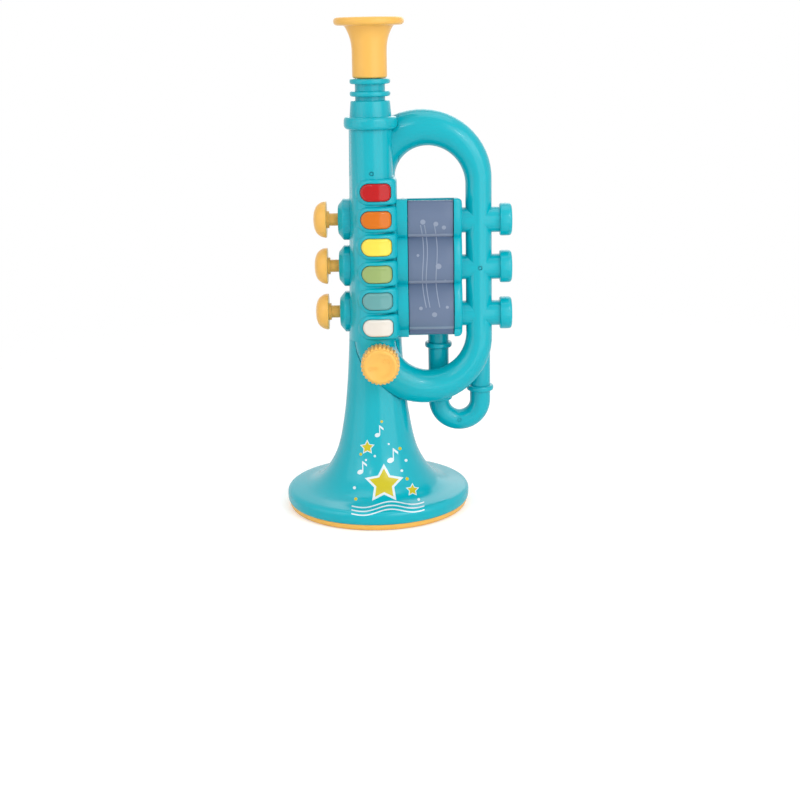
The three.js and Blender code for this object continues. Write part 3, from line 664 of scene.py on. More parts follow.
@dataclass(frozen=True)
class BellPrint:
    """White and mustard print on the front of the bell: a star over a wavy staff, with notes and dots.

    A note's sizes are in half heights of its head: how far the head stretches and its lean, where
    the stem stands, half its width and its height, and the flag's fall, length, low and high edge.
    """

    white: Colour = srgb(0xDDE9ED)
    mustard: Colour = srgb(0xCDBE1E)
    tilt: float = math.radians(19)
    notch: float = 0.52
    points: int = 5
    stars: tuple[Corner, ...] = ((4.5, 11.2, 10.5), (-6.5, 36.0, 4.0), (23.5, 7.0, 3.6))
    outline: float = 1.3
    notes: tuple[Corner, ...] = ((-11.5, 19.5, 1.5), (9.0, 27.0, 1.7), (0.5, 44.0, 1.35))
    head: Point = (1.35, 0.35)
    stem: Corner = (1.15, 0.22, 4.8)
    flag: tuple[float, ...] = (0.8, 1.9, 3.9, 4.9)
    white_dots: tuple[Corner, ...] = (
        (-15.5, 9, 1), (16.5, 20, 0.9), (-1.5, 30, 0.8), (19.5, 27, 1.0), (27.5, 0.5, 0.9), (8, 38, 0.7),
        (-7.5, 27.5, 0.7),
    )
    mustard_dots: tuple[Corner, ...] = (
        (-11, 31.5, 1), (15.5, 35, 1.1), (-14.5, 1.5, 1.1), (20, 14.5, 1.1), (3.5, 53, 0.9),
    )
    staff: tuple[float, ...] = (-7.4, -4.9, -2.4)
    staff_x: Point = (-17.0, 31.0)
    stroke: float = 0.42
    wave: Point = (1.4, 5.2)
    slope: float = 0.05

    def star(self, x: Value, y: Value, at: Corner, grow: float) -> Value:
        """Mask of a five-pointed star, grown by a share."""
        right, up = x - at[0], y - at[1]
        far = (right * right + up * up).root()
        step = FULL_TURN / self.points
        share = (right.angle(up) / step + 0.5).fraction() - 0.5
        turn = share.absolute() * step
        side = self.notch * math.sin(step / 2)
        lean = 1 - self.notch * math.cos(step / 2)
        edge = far * (turn.cosine() * side + turn.sine() * lean)
        return edge < at[2] * grow * side

    def note(self, x: Value, y: Value, at: Corner) -> Value:
        """Mask of a note with a flag, given its head's middle and half height."""
        size = at[2]
        stand, half, height = self.stem
        fall, length, low, high = self.flag
        stem = x - (at[0] + size * stand)
        up = y - at[1]
        line = within(stem, -size * half, size * half) * within(up, 0, size * height)
        flag = within(stem, 0, size * length) * within(up + stem * fall, size * low, size * high)
        return any_of([disc(x, y, at, *self.head), line, flag])

    def lines(self, x: Value, y: Value) -> Value:
        """Mask of the wavy staff."""
        swing = (x / self.wave[1]).sine() * self.wave[0] + x * self.slope
        masks = [within(y - swing - low, -self.stroke, self.stroke) for low in self.staff]
        return any_of(masks) * within(x, *self.staff_x)

    def apply(self, graph: Graph) -> None:
        """Lays the print over the graph's base colour."""
        x, depth, z = graph.axes()
        y = z * math.cos(self.tilt) + depth * math.sin(self.tilt)
        front = depth < -SIZES.wall
        outlines = [self.star(x, y, at, self.outline) for at in self.stars]
        dots = [disc(x, y, at) for at in self.white_dots]
        notes = [self.note(x, y, at) for at in self.notes]
        white = any_of([self.lines(x, y), *outlines, *dots, *notes]) * front
        fills = [self.star(x, y, at, 1) for at in self.stars]
        mustard = any_of([*fills, *[disc(x, y, at) for at in self.mustard_dots]]) * front
        under = graph.mix(white, graph.base, self.white)
        graph.set("Base Color", graph.mix(mustard, under, self.mustard))


@dataclass(frozen=True)
class LensMarksAndShade:
    """Painted shade and painted highlight of the smoky lens, with its raised pale marks: the shade darkens
    each bay towards its top and the lens below the bays, a pale painted highlight band runs just above
    each valley, and the marks are wavy staff lines and dots.
    """

    # Colour of the raised marks, and of the painted highlight band above each valley
    pale: Colour = srgb(0xC3CDE0)
    # Colour of the painted shade
    deep: Colour = srgb(0x5C6F90)
    lines: tuple[float, ...] = (34.5, 37.0, 43.5)
    lines_z: Point = (141.0, 196.0)
    wave: Point = (1.2, 9.0)
    slope: float = -0.06
    stroke: float = 0.3
    dots: tuple[Corner, ...] = (
        (33.0, 198.0, 1.7), (41.5, 196.5, 1.6), (46.8, 194.0, 1.4), (43.0, 168.5, 1.9), (31.0, 140.5, 1.2),
        (48.5, 141, 1.0), (40.0, 136.0, 1.7), (29.5, 176.0, 0.9), (47.5, 158.0, 0.9),
    )
    # Share of each bay's height, from its valley up, that the painted highlight band covers
    highlight_band: float = 0.07
    # How far the marks and the painted highlight band turn pale
    strength: float = 0.5
    # Strength of the painted shade at the top of each bay and below the bays
    shade: float = 0.8
    rise: float = 0.6

    def apply(self, graph: Graph) -> None:
        """Paints shade and a highlight band into the graph's base colour, and raises the marks."""
        x, depth, z = graph.axes()
        share = ((z - SIZES.bay_low) / SIZES.bay_pitch).fraction()
        bays = z > SIZES.bay_low
        swing = (z / self.wave[1]).sine() * self.wave[0] + (z - self.lines_z[0]) * self.slope
        strokes = [within(x - swing - at, -self.stroke, self.stroke) for at in self.lines]
        marks = [any_of(strokes) * within(z, *self.lines_z), *[disc(x, z, at) for at in self.dots]]
        raised = any_of(marks) * (depth < SIZES.loop_y - SIZES.gap * 2)
        # Painted highlight: a pale band just above each valley
        edge = within(share, 0, self.highlight_band) * bays
        # Painted shade: darker towards the top of each bay, and dark below the bays
        dark = (share * share * self.shade) * bays + (z < SIZES.bay_low) * self.shade
        shaded = graph.mix(dark, graph.base, self.deep)
        marks_and_highlight = any_of([raised, edge]) * self.strength
        graph.set("Base Color", graph.mix(marks_and_highlight, shaded, self.pale))
        inputs = {"Height": raised, "Strength": self.rise, "Distance": MM / 2}
        graph.set("Normal", graph.node("ShaderNodeBump", inputs))


# Sub-assemblies


@dataclass
class Forms:
    """Outer and inner forms that the two shells are cut from."""

    sides: int = 64
    bend_steps: int = 28
    body_steps: int = 8
    fairing_edge: tuple[Point, ...] = ((1.6, 0), (0.8, 0.15), (0.2, 0.7), (0, 1.5))
    overlap: float = 20.0
    bay_steps: int = 20
    bay_swell: float = 0.7

    @staticmethod
    def reach(way: Point, start: float, centre: float, wide: float, deep: float) -> float:
        """Measures from (0, start) along a way to an ellipse round (0, centre), half its axes given."""
        square = (way[0] / wide) ** 2 + (way[1] / deep) ** 2
        middle = (start - centre) * way[1] / deep**2
        rest = ((start - centre) / deep) ** 2 - 1
        return (math.sqrt(middle**2 - square * rest) - middle) / square

    def section(self, z: float, inset: float) -> list[Vector]:
        """Outline round the front pipe and the larger back pipe at a height, with full flanks."""
        back, front = SIZES.back(z) - inset, SIZES.pipe_radius - inset
        start = SIZES.pipe_y / 2
        loop = []
        for k in range(ROUND_SIDES):
            turn = FULL_TURN * k / ROUND_SIDES
            way = (math.cos(turn), math.sin(turn))
            round_back = self.reach(way, start, 0, back, back)
            far = max(round_back, self.reach(way, start, SIZES.pipe_y, front, front))
            flank = self.reach(way, start, 0, back, front - SIZES.pipe_y)
            if start + flank * way[1] < 0:
                far = max(far, flank)
            loop.append(Vector((far * way[0], start + far * way[1], z)))
        return loop

    def body(self, inset: float) -> Solid:
        """Upright body: fairing round both pipes, and the pipes above it."""
        top = SIZES.body_top - inset
        step = SIZES.fairing_top - inset
        low = SIZES.body_low + inset
        rise = (step - low) / self.body_steps
        loops = [self.section(low + rise * k, inset) for k in range(self.body_steps)]
        loops += [self.section(step - drop, inset + grow) for drop, grow in self.fairing_edge]
        foot = step - self.overlap
        front = rod(SIZES.pipe_radius - inset, (foot, top), at=SIZES.pipe_at, sides=ROUND_SIDES)
        wide, narrow = SIZES.back(foot) - inset, SIZES.back(top) - inset
        return joined([lofted(loops), front, turned([(0, foot), (wide, foot), (narrow, top), (0, top)])])

    def bend(self, upper: bool, inset: float) -> list[Station]:
        """Stations of a bend, from the right-hand pipe to the body: centre, angle and radius."""
        centre_z = SIZES.upper_bend_z if upper else SIZES.lower_bend_z
        rise = SIZES.upper_rise if upper else -SIZES.bend_radius
        end_y = SIZES.loop_back_y if upper else SIZES.pipe_y
        end_radius = SIZES.upper_end_radius if upper else SIZES.pipe_radius
        stations = []
        for k in range(self.bend_steps + 1):
            share = k / self.bend_steps
            angle = math.pi * share
            depth = SIZES.loop_y + (end_y - SIZES.loop_y) * eased(share)
            x = SIZES.right_x - SIZES.bend_radius * (1 - math.cos(angle))
            centre = Vector((x, depth, centre_z + rise * math.sin(angle)))
            radius = SIZES.right_radius + (end_radius - SIZES.right_radius) * share - inset
            stations.append((centre, angle if upper else -angle, radius))
        return stations

    def pipe(self, stations: Iterable[Station]) -> Solid:
        """Pipe through stations that lie in upright planes."""
        turns = [FULL_TURN * k / self.sides for k in range(self.sides)]
        loops = []
        for centre, angle, radius in stations:
            out = Vector((math.cos(angle), 0, math.sin(angle)))
            ring = [(radius * math.cos(turn), radius * math.sin(turn)) for turn in turns]
            loops.append([centre + out * wide + Vector((0, deep, 0)) for wide, deep in ring])
        return lofted(loops)

    def lower_bend(self, inset: float) -> Solid:
        """The lower bend alone."""
        return self.pipe(self.bend(False, inset))

    def loop(self, inset: float) -> Solid:
        """Lower bend, right-hand pipe and upper bend in one run."""
        whole = self.pipe([*reversed(self.bend(False, inset)), *self.bend(True, inset)])
        room, low = SIZES.collar_room + inset, SIZES.body_top - inset
        profile = rounded([(0, low, 0), (room, low, SIZES.collar_round), (room, REACH, 0), (0, REACH, 0)])
        return combined(whole, [turned(profile, at=SIZES.pipe_at)], Cut.TAKE)

    def stubs(self, inset: float) -> Solid:
        """Valve stubs across the right-hand pipe, with their end caps."""
        start = SIZES.casing_x[1] - SIZES.wall - inset
        face = SIZES.cap_x + inset
        end = SIZES.cap_x + SIZES.cap_length - inset
        stub, cap = SIZES.stub_radius - inset, SIZES.cap_radius - inset
        foot, edge = SIZES.stub_foot, SIZES.cap_back_round
        line = [(0, start, 0), (stub, start, 0), (stub, face, foot), (cap, face, edge)]
        profile = rounded([*line, (cap, end, SIZES.cap_round), (0, end, 0)])
        return gathered([turned(profile, Axis.X, (0, SIZES.loop_y, z)) for z in SIZES.valve_z])

    def bay_front(self, z: float, inset: float) -> float:
        """Depth of the casing's round-fronted bays at a height."""
        share = (z - SIZES.bay_low) / SIZES.bay_pitch % 1
        swell = math.sin(math.pi * share) ** self.bay_swell if z > SIZES.bay_low else 0
        return SIZES.casing_valley + (SIZES.casing_crest - SIZES.casing_valley) * swell + inset

    def bays(self, inset: float) -> list[Point]:
        """The casing's outline from the side, as depth and height."""
        low, high = SIZES.casing_z[0] + inset, SIZES.casing_z[1] - inset
        back, valley, corner = SIZES.casing_back - inset, SIZES.casing_valley + inset, SIZES.casing_corner
        edge = high - 2 * corner
        top = self.bay_front(edge, inset)
        corners = [(back, low, corner / 2), (back, high - SIZES.casing_fall, corner), (top, high, corner)]
        ends = [edge, *[SIZES.bay_low + SIZES.bay_pitch * k for k in reversed(range(SIZES.bay_count))]]
        for upper, lower in zip(ends, ends[1:]):
            for k in range(self.bay_steps):
                z = upper + (lower - upper) * k / self.bay_steps
                corners.append((self.bay_front(z, inset), z, 0))
        corners += [(valley, SIZES.bay_low, 0), (valley, low, corner / 2)]
        return rounded(corners, closed=True)

    def casing(
        self, inset: float, x: Point = SIZES.casing_x, rims: Point = (1.3, 3.2), steps: int = 5
    ) -> Solid:
        """Makes the valve casing.

        Args:
            inset: How far inside the outer form.
            x: Its left and right end.
            rims: How far the edges at either end are rounded.
            steps: Steps in each rounding.

        Returns:
            The solid.
        """
        loops = []
        for end, rim, side in zip(x, rims, (1, -1)):
            ring = []
            for k in range(steps + 1):
                turn = QUARTER * k / steps
                place = end + side * (inset + rim * (1 - math.cos(turn)))
                ring.append((place, inset + rim * (1 - math.sin(turn))))
            loops += ring if side > 0 else reversed(ring)
        return lofted([[Vector((place, y, z)) for y, z in self.bays(grow)] for place, grow in loops])

    def whole(self, inset: float) -> Solid:
        """Everything that the shells enclose."""
        return joined([self.body(inset), self.loop(inset), self.casing(inset), self.stubs(inset)])


FORMS = Forms()


@dataclass
class Screws:
    """Screws that hold the shells together, their posts and their bores."""

    post: float = 4.4
    post_sides: int = 32
    post_gap: float = 1.0
    head: float = 1.8
    slot: Point = (0.7, 1.9)
    slot_deep: float = 0.6
    edge: float = 0.2
    dome: float = 0.5

    def posts(self, places: Iterable[Corner]) -> Solid:
        """Posts inside the back wall, under the heads."""
        wall = SIZES.wall
        return gathered(
            rod(self.post, (wall, seat - self.post_gap), Axis.Y, (x, 0, z), self.post_sides)
            for x, z, seat in places
            if seat > wall * 2
        )

    def bores(self, places: Iterable[Corner]) -> Solid:
        """Round recesses that the heads sink in."""
        radius, sink = SIZES.screw_radius + SIZES.gap, SIZES.screw_sink
        return gathered(
            rod(radius, (seat - sink, seat + radius), Axis.Y, (x, 0, z)) for x, z, seat in places
        )

    def build(self) -> None:
        """Makes the screws with their cross recesses."""
        for k, (x, z, seat) in enumerate(SIZES.screws, 1):
            top = seat - SIZES.gap * 2
            low = top - self.head
            radius = SIZES.screw_radius
            shank = radius / 2
            profile = rounded(
                [
                    (0, low - self.head, 0), (shank, low - self.head, 0), (shank, low, 0),
                    (radius, low, self.edge), (radius, top - self.dome, self.dome), (0, top, radius / 2),
                ]
            )
            bm = turned(profile, Axis.Y, (x, 0, z), SMALL_SIDES)
            width, reach = self.slot[0] / 2, self.slot[1]
            deep = (top - self.head * self.slot_deep, top + 1)
            cross = joined(
                [block((x - w, x + w), deep, (z - h, z + h)) for w, h in ((reach, width), (width, reach))]
            )
            finished(combined(bm, [cross], Cut.TAKE), f"screw_{k}", STEEL, [f"shell_screw_{k}"])


SCREWS = Screws()


def knob_boss(grow: float) -> Solid:
    """Round seat of the volume knob, grown by a clearance."""
    radius = SIZES.boss_radius + grow
    face = SIZES.boss_face - grow
    line = [(0, face, 0), (radius - SIZES.boss_draft, face, SIZES.boss_round)]
    line += [(radius, SIZES.loop_y, 0), (0, SIZES.loop_y, 0)]
    return turned(rounded(line), Axis.Y, SIZES.knob_at)


def sink_rings(
    places: Iterable[Corner], radii: Point = (0.75, 1.55), deep: float = 0.6, out: float = 2.0
) -> Solid:
    """Makes small round grooves.

    Args:
        places: X, height and depth of the face that each is sunk in.
        radii: Inner and outer radius.
        deep: How far they go in.
        out: How far they start in front of the face.

    Returns:
        The solid to take away.
    """
    inner, outer = radii
    rings = []
    for x, z, face in places:
        start, end = face - out, face + deep
        line = [(inner, start), (outer, start), (outer, end), (inner, end)]
        rings.append(turned(line, Axis.Y, (x, 0, z), SMALL_SIDES, closed=True))
    return gathered(rings)


@dataclass
class Bell:
    """Flared bell with a rounded rim."""

    rim_radius: float = 62.7
    flare: tuple[Point, ...] = (
        (21.2, 71), (23.3, 57), (25.4, 46.5), (28.2, 37.5), (32.4, 29.3), (37.2, 22.8), (42.4, 18.2),
        (48.5, 15.4), (55.5, 14.1),
    )
    rim: tuple[Corner, ...] = ((-0.9, 4.6, 0), (0, 6.2, 1.4), (0, 13, 4.2), (-7.2, 14.1, 0))
    rim_steps: int = 8
    spigot: Point = (12.7, 3.0)

    def outline(self) -> list[Point]:
        """The outer line, from the lower edge up to the back pipe."""
        corners = [(self.rim_radius + out, z, reach) for out, z, reach in self.rim]
        rim = rounded(corners, self.rim_steps)
        cone = curved([*reversed(self.flare), SIZES.bell_joint])
        return [*rim[:-1], *cone, *SIZES.throat(0)[1:]]

    def build(self) -> None:
        """Makes the bell with its throat, cut out for the bend and the front shell."""
        wall, gap, top = SIZES.wall, SIZES.gap, SIZES.throat_top
        outer = self.outline()
        low = [(r, z) for r, z in outer if z < top - wall]
        inner = [(r - wall, z if k == 0 else z - wall / 2) for k, (r, z) in enumerate(low)]
        radius, height = self.spigot
        spigot = [(radius, top), (radius, top + height), (radius - wall, top + height)]
        spigot += [(radius - wall, top - wall), (SIZES.back(top) - wall, top - wall)]
        skin = turned([*outer, *spigot, *reversed(inner)], closed=True, sides=2 * ROUND_SIDES)
        front = combined(
            joined([FORMS.body(-gap), FORMS.casing(-gap)]),
            [block((-REACH, REACH), (-REACH, SIZES.seam), (0, REACH))],
            Cut.KEEP,
        )
        low_screws = [place for place in SIZES.screws if place[1] < top]
        skin = joined([skin, SCREWS.posts(low_screws)])
        cuts = [FORMS.lower_bend(-gap), front, knob_boss(gap), SCREWS.bores(low_screws)]
        graph = moulded(TURQUOISE, "bell_turquoise")
        BellPrint().apply(graph)
        finished(combined(skin, cuts, Cut.TAKE), "bell_skin", TURQUOISE, ["bell"], material=graph.owner)


@dataclass
class BaseCover:
    """Cream cover under the bell with the speaker's holes."""

    radius: float = 61.5
    lip: float = 8.0
    step: float = 4.0
    recess: float = 2.4
    dome: float = 1.6
    dome_share: float = 0.8
    skin: float = 2.0
    edge: float = 4.6
    round: float = 2.6
    soft: float = 1.0
    hole: float = 1.5
    hole_sides: int = 20
    pitch: float = 6.4
    rings: int = 3
    per_ring: int = 6

    def build(self) -> None:
        """Makes the cover."""
        lip = self.radius - self.lip
        inner = lip - self.step
        top = self.edge - SIZES.gap
        deck = self.recess + self.skin
        back = self.radius - SIZES.wall
        swell = self.recess - self.dome * self.dome_share
        outer, bend, soft = self.radius, self.round, self.soft
        profile = rounded(
            [
                (0, self.recess - self.dome, 0), (inner / 2, swell, inner / 3), (inner, self.recess, soft),
                (lip, self.recess / 3, soft), (lip + soft, 0, soft), (outer - bend / 2, 0, bend),
                (outer, bend, bend / 2), (outer, top, 0), (back, top, 0), (back, deck, 0), (0, deck, 0),
            ]
        )
        cover = turned(profile, sides=2 * ROUND_SIDES)
        holes = []
        for ring in range(self.rings + 1):
            count = max(1, ring * self.per_ring)
            for k in range(count):
                turn = FULL_TURN * k / count
                at = (ring * self.pitch * math.cos(turn), ring * self.pitch * math.sin(turn), 0)
                holes.append(rod(self.hole, (-1, deck + 1), at=at, sides=self.hole_sides))
        bm = combined(cover, [gathered(holes)], Cut.TAKE)
        finished(bm, "base_cover", CREAM, ["speaker_grille"])


@dataclass
class Mouthpiece:
    """Cream mouthpiece on the turquoise receiver."""

    bore: float = 3.2
    low: float = 291.2
    top: float = 329.7
    barrel: float = 11.3
    neck: float = 16.0
    flange: float = 22.7
    flange_height: float = 5.2
    flange_round: float = 3.2
    flange_foot: float = 1.2
    # How far the flange's flat face reaches in, and its inner edge's rounding
    lip: Point = (1.0, 3.0)
    flare: float = 17.5
    flare_swell: float = 2.4
    steps: int = 8
    socket: Point = (7.7, 12.3)
    foot_round: float = 1.6
    cup: float = 20.0
    # The cup's bend: its share of the barrel, its share of the cup's depth, and its rounding
    cup_bend: Corner = (0.75, 0.55, 5.0)
    throat_round: float = 2.0

    def build(self) -> None:
        """Makes the mouthpiece."""
        rim = self.top - self.flange_height
        sweep = []
        for k in range(self.steps):
            share = k / self.steps
            radius = self.barrel + (self.neck - self.barrel) * share**self.flare_swell
            sweep.append((radius, rim - self.flare * (1 - share), 1))
        socket, deep = self.socket
        wide, down, bend = self.cup_bend
        low, top, end = self.low, self.top, self.low + deep
        lip, soft = self.lip
        profile = rounded(
            [
                (socket, low, 0), (self.barrel, low, self.foot_round), *sweep,
                (self.neck, rim, self.flange_foot), (self.flange, rim, self.flange_round),
                (self.flange, top, self.flange_round), (self.neck + lip, top, soft),
                (self.barrel * wide, top - self.cup * down, bend),
                (self.bore, top - self.cup, self.throat_round), (self.bore, end, 0), (socket, end, 0),
            ]
        )
        bm = turned(profile, at=SIZES.pipe_at, closed=True)
        finished(bm, "mouthpiece_skin", CREAM, ["mouthpiece"])


@dataclass
class Receiver:
    """Collar, ferrule and ringed neck that carry the mouthpiece."""

    bore: float = 3.2
    low: float = 258.5
    collar: Point = (17.6, 8.1)
    ferrule: Point = (13.7, 10.4)
    ferrule_taper: float = 0.9
    ferrule_round: float = 1.2
    ferrule_foot: float = 0.5
    neck: float = 9.8
    neck_round: float = 0.4
    ring: Point = (13.2, 3.4)
    ring_round: float = 1.5
    rings_z: tuple[float, ...] = (283.0, 290.9)
    spigot: Point = (7.4, 12.0)

    def build(self) -> None:
        """Makes the receiver."""
        radius, height = self.collar
        top = self.low + height
        ferrule, rise = self.ferrule
        neck, shoulder, soft, edge = self.neck, top + rise, self.neck_round, SIZES.collar_round
        corners: list[Corner] = [
            (self.bore, self.low, 0), (radius, self.low, edge), (radius, top, edge),
            (ferrule, top, self.ferrule_foot),
            (ferrule - self.ferrule_taper, shoulder, self.ferrule_round), (neck, shoulder, soft),
        ]
        width, depth = self.ring
        edge = self.ring_round
        for z in self.rings_z:
            low = z - depth
            corners += [(neck, low, soft), (width, low, edge), (width, z, edge), (neck, z, soft)]
        spigot, height = self.spigot
        low = self.rings_z[-1]
        corners[-1] = (spigot, low, 0)
        corners += [(spigot, low + height, 0), (self.bore, low + height, 0)]
        bm = turned(rounded(corners), at=SIZES.pipe_at, closed=True)
        finished(bm, "receiver_skin", TURQUOISE, ["receiver"])


@dataclass
class KeyShape:
    """Outlines of a key or its bezel: left end round, right end with corners."""

    left: float
    right: float
    height: float
    corner: float
    left_slope: float = 1.0

    def loop(
        self, k: int, inset: float, face_radius: float, arc: int = 8, across: int = 12
    ) -> list[Vector]:
        """One closed outline on a face cylinder.

        Args:
            k: The key's number.
            inset: How far inside the outline.
            face_radius: The cylinder's radius.
            arc: Points on each rounding.
            across: Points on the straight.

        Returns:
            The points, upper half first.
        """
        half = self.height / 2 - inset
        left, right = self.left + inset * self.left_slope, self.right - inset
        corner = max(self.corner - inset, self.corner / 4)
        upper = []
        for step in range(arc):
            turn = QUARTER * (step + 0.5) / arc
            upper.append((left + half * (1 - math.cos(turn)), half * math.sin(turn)))
        start, end = left + half, right - corner
        upper += [(start + (end - start) * step / across, half) for step in range(across)]
        for step in range(arc + 1):
            turn = QUARTER * step / arc
            upper.append((end + corner * math.sin(turn), half - corner * (1 - math.cos(turn))))
        middle = SIZES.key_z(k)
        full = [*upper, *[(x, -z) for x, z in reversed(upper)]]
        return [Vector((x, self.depth(x, face_radius), middle + z)) for x, z in full]

    @staticmethod
    def depth(x: float, face_radius: float) -> float:
        """Depth of the face cylinder at an X."""
        return SIZES.key_centre_y - math.sqrt(max(face_radius**2 - (x - SIZES.key_x) ** 2, 0))

    def solid(self, k: int, steps: Sequence[Point]) -> Solid:
        """Lofts outlines, each an inset and a face radius, from the back to the front."""
        return lofted([self.loop(k, inset, radius) for inset, radius in steps], paired_end=True)


KEY = KeyShape(-7.55, 12.35, 11.3, 3.7)
BEZEL = KeyShape(-11.4, 16.4, 17.1, 2.8, 1.7)


@dataclass
class Keys:
    """Six tone keys."""

    steps: tuple[Point, ...] = (
        (0, 14.2), (0, 19.3), (0.12, 19.8), (0.4, 20.2), (0.8, 20.48), (1.3, 20.6), (1.8, 20.56),
        (2.5, 20.44), (3.4, 20.38),
    )

    def build(self) -> None:
        """Makes the keys."""
        for k, (name, finish) in enumerate(KEY_FINISHES.items()):
            finished(KEY.solid(k, self.steps), f"key_{name}_cap", finish, [f"key_{name}"], f"key_{name}")


@dataclass
class Shells:
    """Front and back shell."""

    bush: float = 3.6
    nut_spigot: float = 7.0
    pocket: Point = (-60.0, 0.0)
    collar_seat: float = 11.2
    collar_seat_z: Point = (254.4, 300.0)
    web_x: Point = (8.0, 15.6)
    web_y: Point = (-19.8, -9.0)
    window_over: float = 5.0
    # The battery door's opening, from end to end along X, Y and Z
    door: tuple[Point, ...] = ((20.7, 55.3), (9.0, REACH), (142.7, 197.8))
    slide_socket: float = 9.0
    dots: tuple[Corner, ...] = ((0.1, 230.6, -25.2), (70.6, 166.3, -15.9))
    bezel_steps: tuple[Point, ...] = (
        (0, 11.5), (0, 16.6), (0.15, 17.3), (0.45, 18), (0.85, 18.5), (1.3, 18.82), (1.8, 18.98),
        (2.3, 19),
    )
    well_steps: tuple[Point, ...] = ((-0.35, 4), (-0.35, 30))

    def region(self, front: bool) -> list[Solid]:
        """The half of space that a shell keeps, as two boxes."""
        seam, split, edge = SIZES.seam, SIZES.loop_y, SIZES.upper_end
        if front:
            left = (-REACH, edge - seam), (-REACH, -seam)
            right = (edge - SIZES.wall, REACH), (-REACH, split - seam)
        else:
            left = (-REACH, edge + seam), (seam, REACH)
            right = (edge + seam, REACH), (split + seam, REACH)
        return [block(*left, (0, REACH)), block(*right, (0, REACH))]

    def openings(self) -> list[Solid]:
        """What is cut from both shells: the collar's seat, piston holes and screw recesses."""
        seat = rod(self.collar_seat, self.collar_seat_z, at=SIZES.pipe_at, sides=ROUND_SIDES)
        radius = self.nut_spigot + SIZES.gap
        holes = [rod(radius, self.pocket, Axis.X, (0, SIZES.piston_y, z)) for z in SIZES.valve_z]
        return [seat, gathered(holes), SCREWS.bores(SIZES.screws)]

    def tail(self, inner: Solid) -> Solid:
        """The whole round of the lower bend in the bell's throat, a part of the front shell."""
        room = block((-REACH, SIZES.upper_end - SIZES.seam), (-SIZES.wall, REACH), (0, SIZES.throat_top))
        hollow = combined(FORMS.lower_bend(0), [inner], Cut.TAKE)
        return combined(hollow, [room], Cut.KEEP)

    def front(self, outer: Solid, inner: Solid) -> Solid:
        """Cuts the front shell."""
        low, high = SIZES.casing_z
        bezels = gathered(BEZEL.solid(k, self.bezel_steps) for k in range(SIZES.key_count))
        web = block(self.web_x, self.web_y, (low + SIZES.gap, high - SIZES.casing_corner))
        proud = joined([outer, web, bezels, knob_boss(0)])
        over = self.window_over
        window = block(SIZES.lens_x, (-REACH, SIZES.loop_y), (low - over, high + over))
        wells = gathered(KEY.solid(k, self.well_steps) for k in range(SIZES.key_count))
        bush = rod(self.bush, self.pocket, Axis.Y, SIZES.knob_at)
        hollow = combined(proud, [inner], Cut.TAKE)
        half = combined(hollow, [joined(self.region(True))], Cut.KEEP)
        cuts = [window, wells, bush, sink_rings(self.dots), *self.openings()]
        return combined(joined([half, self.tail(inner)]), cuts, Cut.TAKE)

    def back(self, outer: Solid, inner: Solid) -> Solid:
        """Cuts the back shell."""
        gap, top = SIZES.gap, SIZES.throat_top + SIZES.gap
        high_screws = [place for place in SIZES.screws if place[1] > SIZES.throat_top]
        hollow = joined([combined(outer, [inner], Cut.TAKE), SCREWS.posts(high_screws)])
        half = combined(hollow, [joined(self.region(False))], Cut.KEEP)
        mouth = (SIZES.back(top) + gap, top)
        throat = turned([(0, 0), (SIZES.bell_joint[0], 0), *SIZES.throat(gap), mouth, (0, top)])
        room = block((-REACH, SIZES.upper_end + SIZES.seam), (-SIZES.wall, REACH), (0, SIZES.throat_top))
        tail = combined(FORMS.lower_bend(0), [room], Cut.KEEP)
        low, at = SIZES.casing_z[0] - SIZES.wall, (SIZES.slide_x, SIZES.slide_y, 0)
        slide = rod(SIZES.slide_radius + gap, (low, low + self.slide_socket), at=at, sides=ROUND_SIDES)
        return combined(half, [throat, tail, block(*self.door), slide, *self.openings()], Cut.TAKE)

    def build(self) -> None:
        """Makes both shells."""
        outer, inner = FORMS.whole(0), FORMS.whole(SIZES.wall)
        finished(self.front(outer, inner), "front_half", TURQUOISE, ["front_shell"])
        finished(self.back(outer, inner), "back_half", TURQUOISE, ["back_shell"])


@dataclass
class Lens:
    """Smoky window over the casing's bays."""

    rims: Point = (0.5, 0.5)
    core_over: float = 9.0

    def build(self) -> None:
        """Makes the lens."""
        left, right, sink = SIZES.lens_x[0] + SIZES.gap, SIZES.lens_x[1] - SIZES.gap, SIZES.lens_sink
        over = self.core_over
        skin = FORMS.casing(sink, (left - sink, right + sink), self.rims)
        core = FORMS.casing(sink + SIZES.lens_wall, (left - over, right + over), self.rims)
        back = block((-REACH, REACH), (SIZES.loop_y - SIZES.gap, REACH), (0, REACH))
        graph = moulded(SMOKE)
        # Painted shade and painted highlight band on the bays, with the raised pale marks
        LensMarksAndShade().apply(graph)
        bm = combined(skin, [core, back], Cut.TAKE)
        finished(bm, "lens_skin", SMOKE, ["lamp_lens"], material=graph.owner)


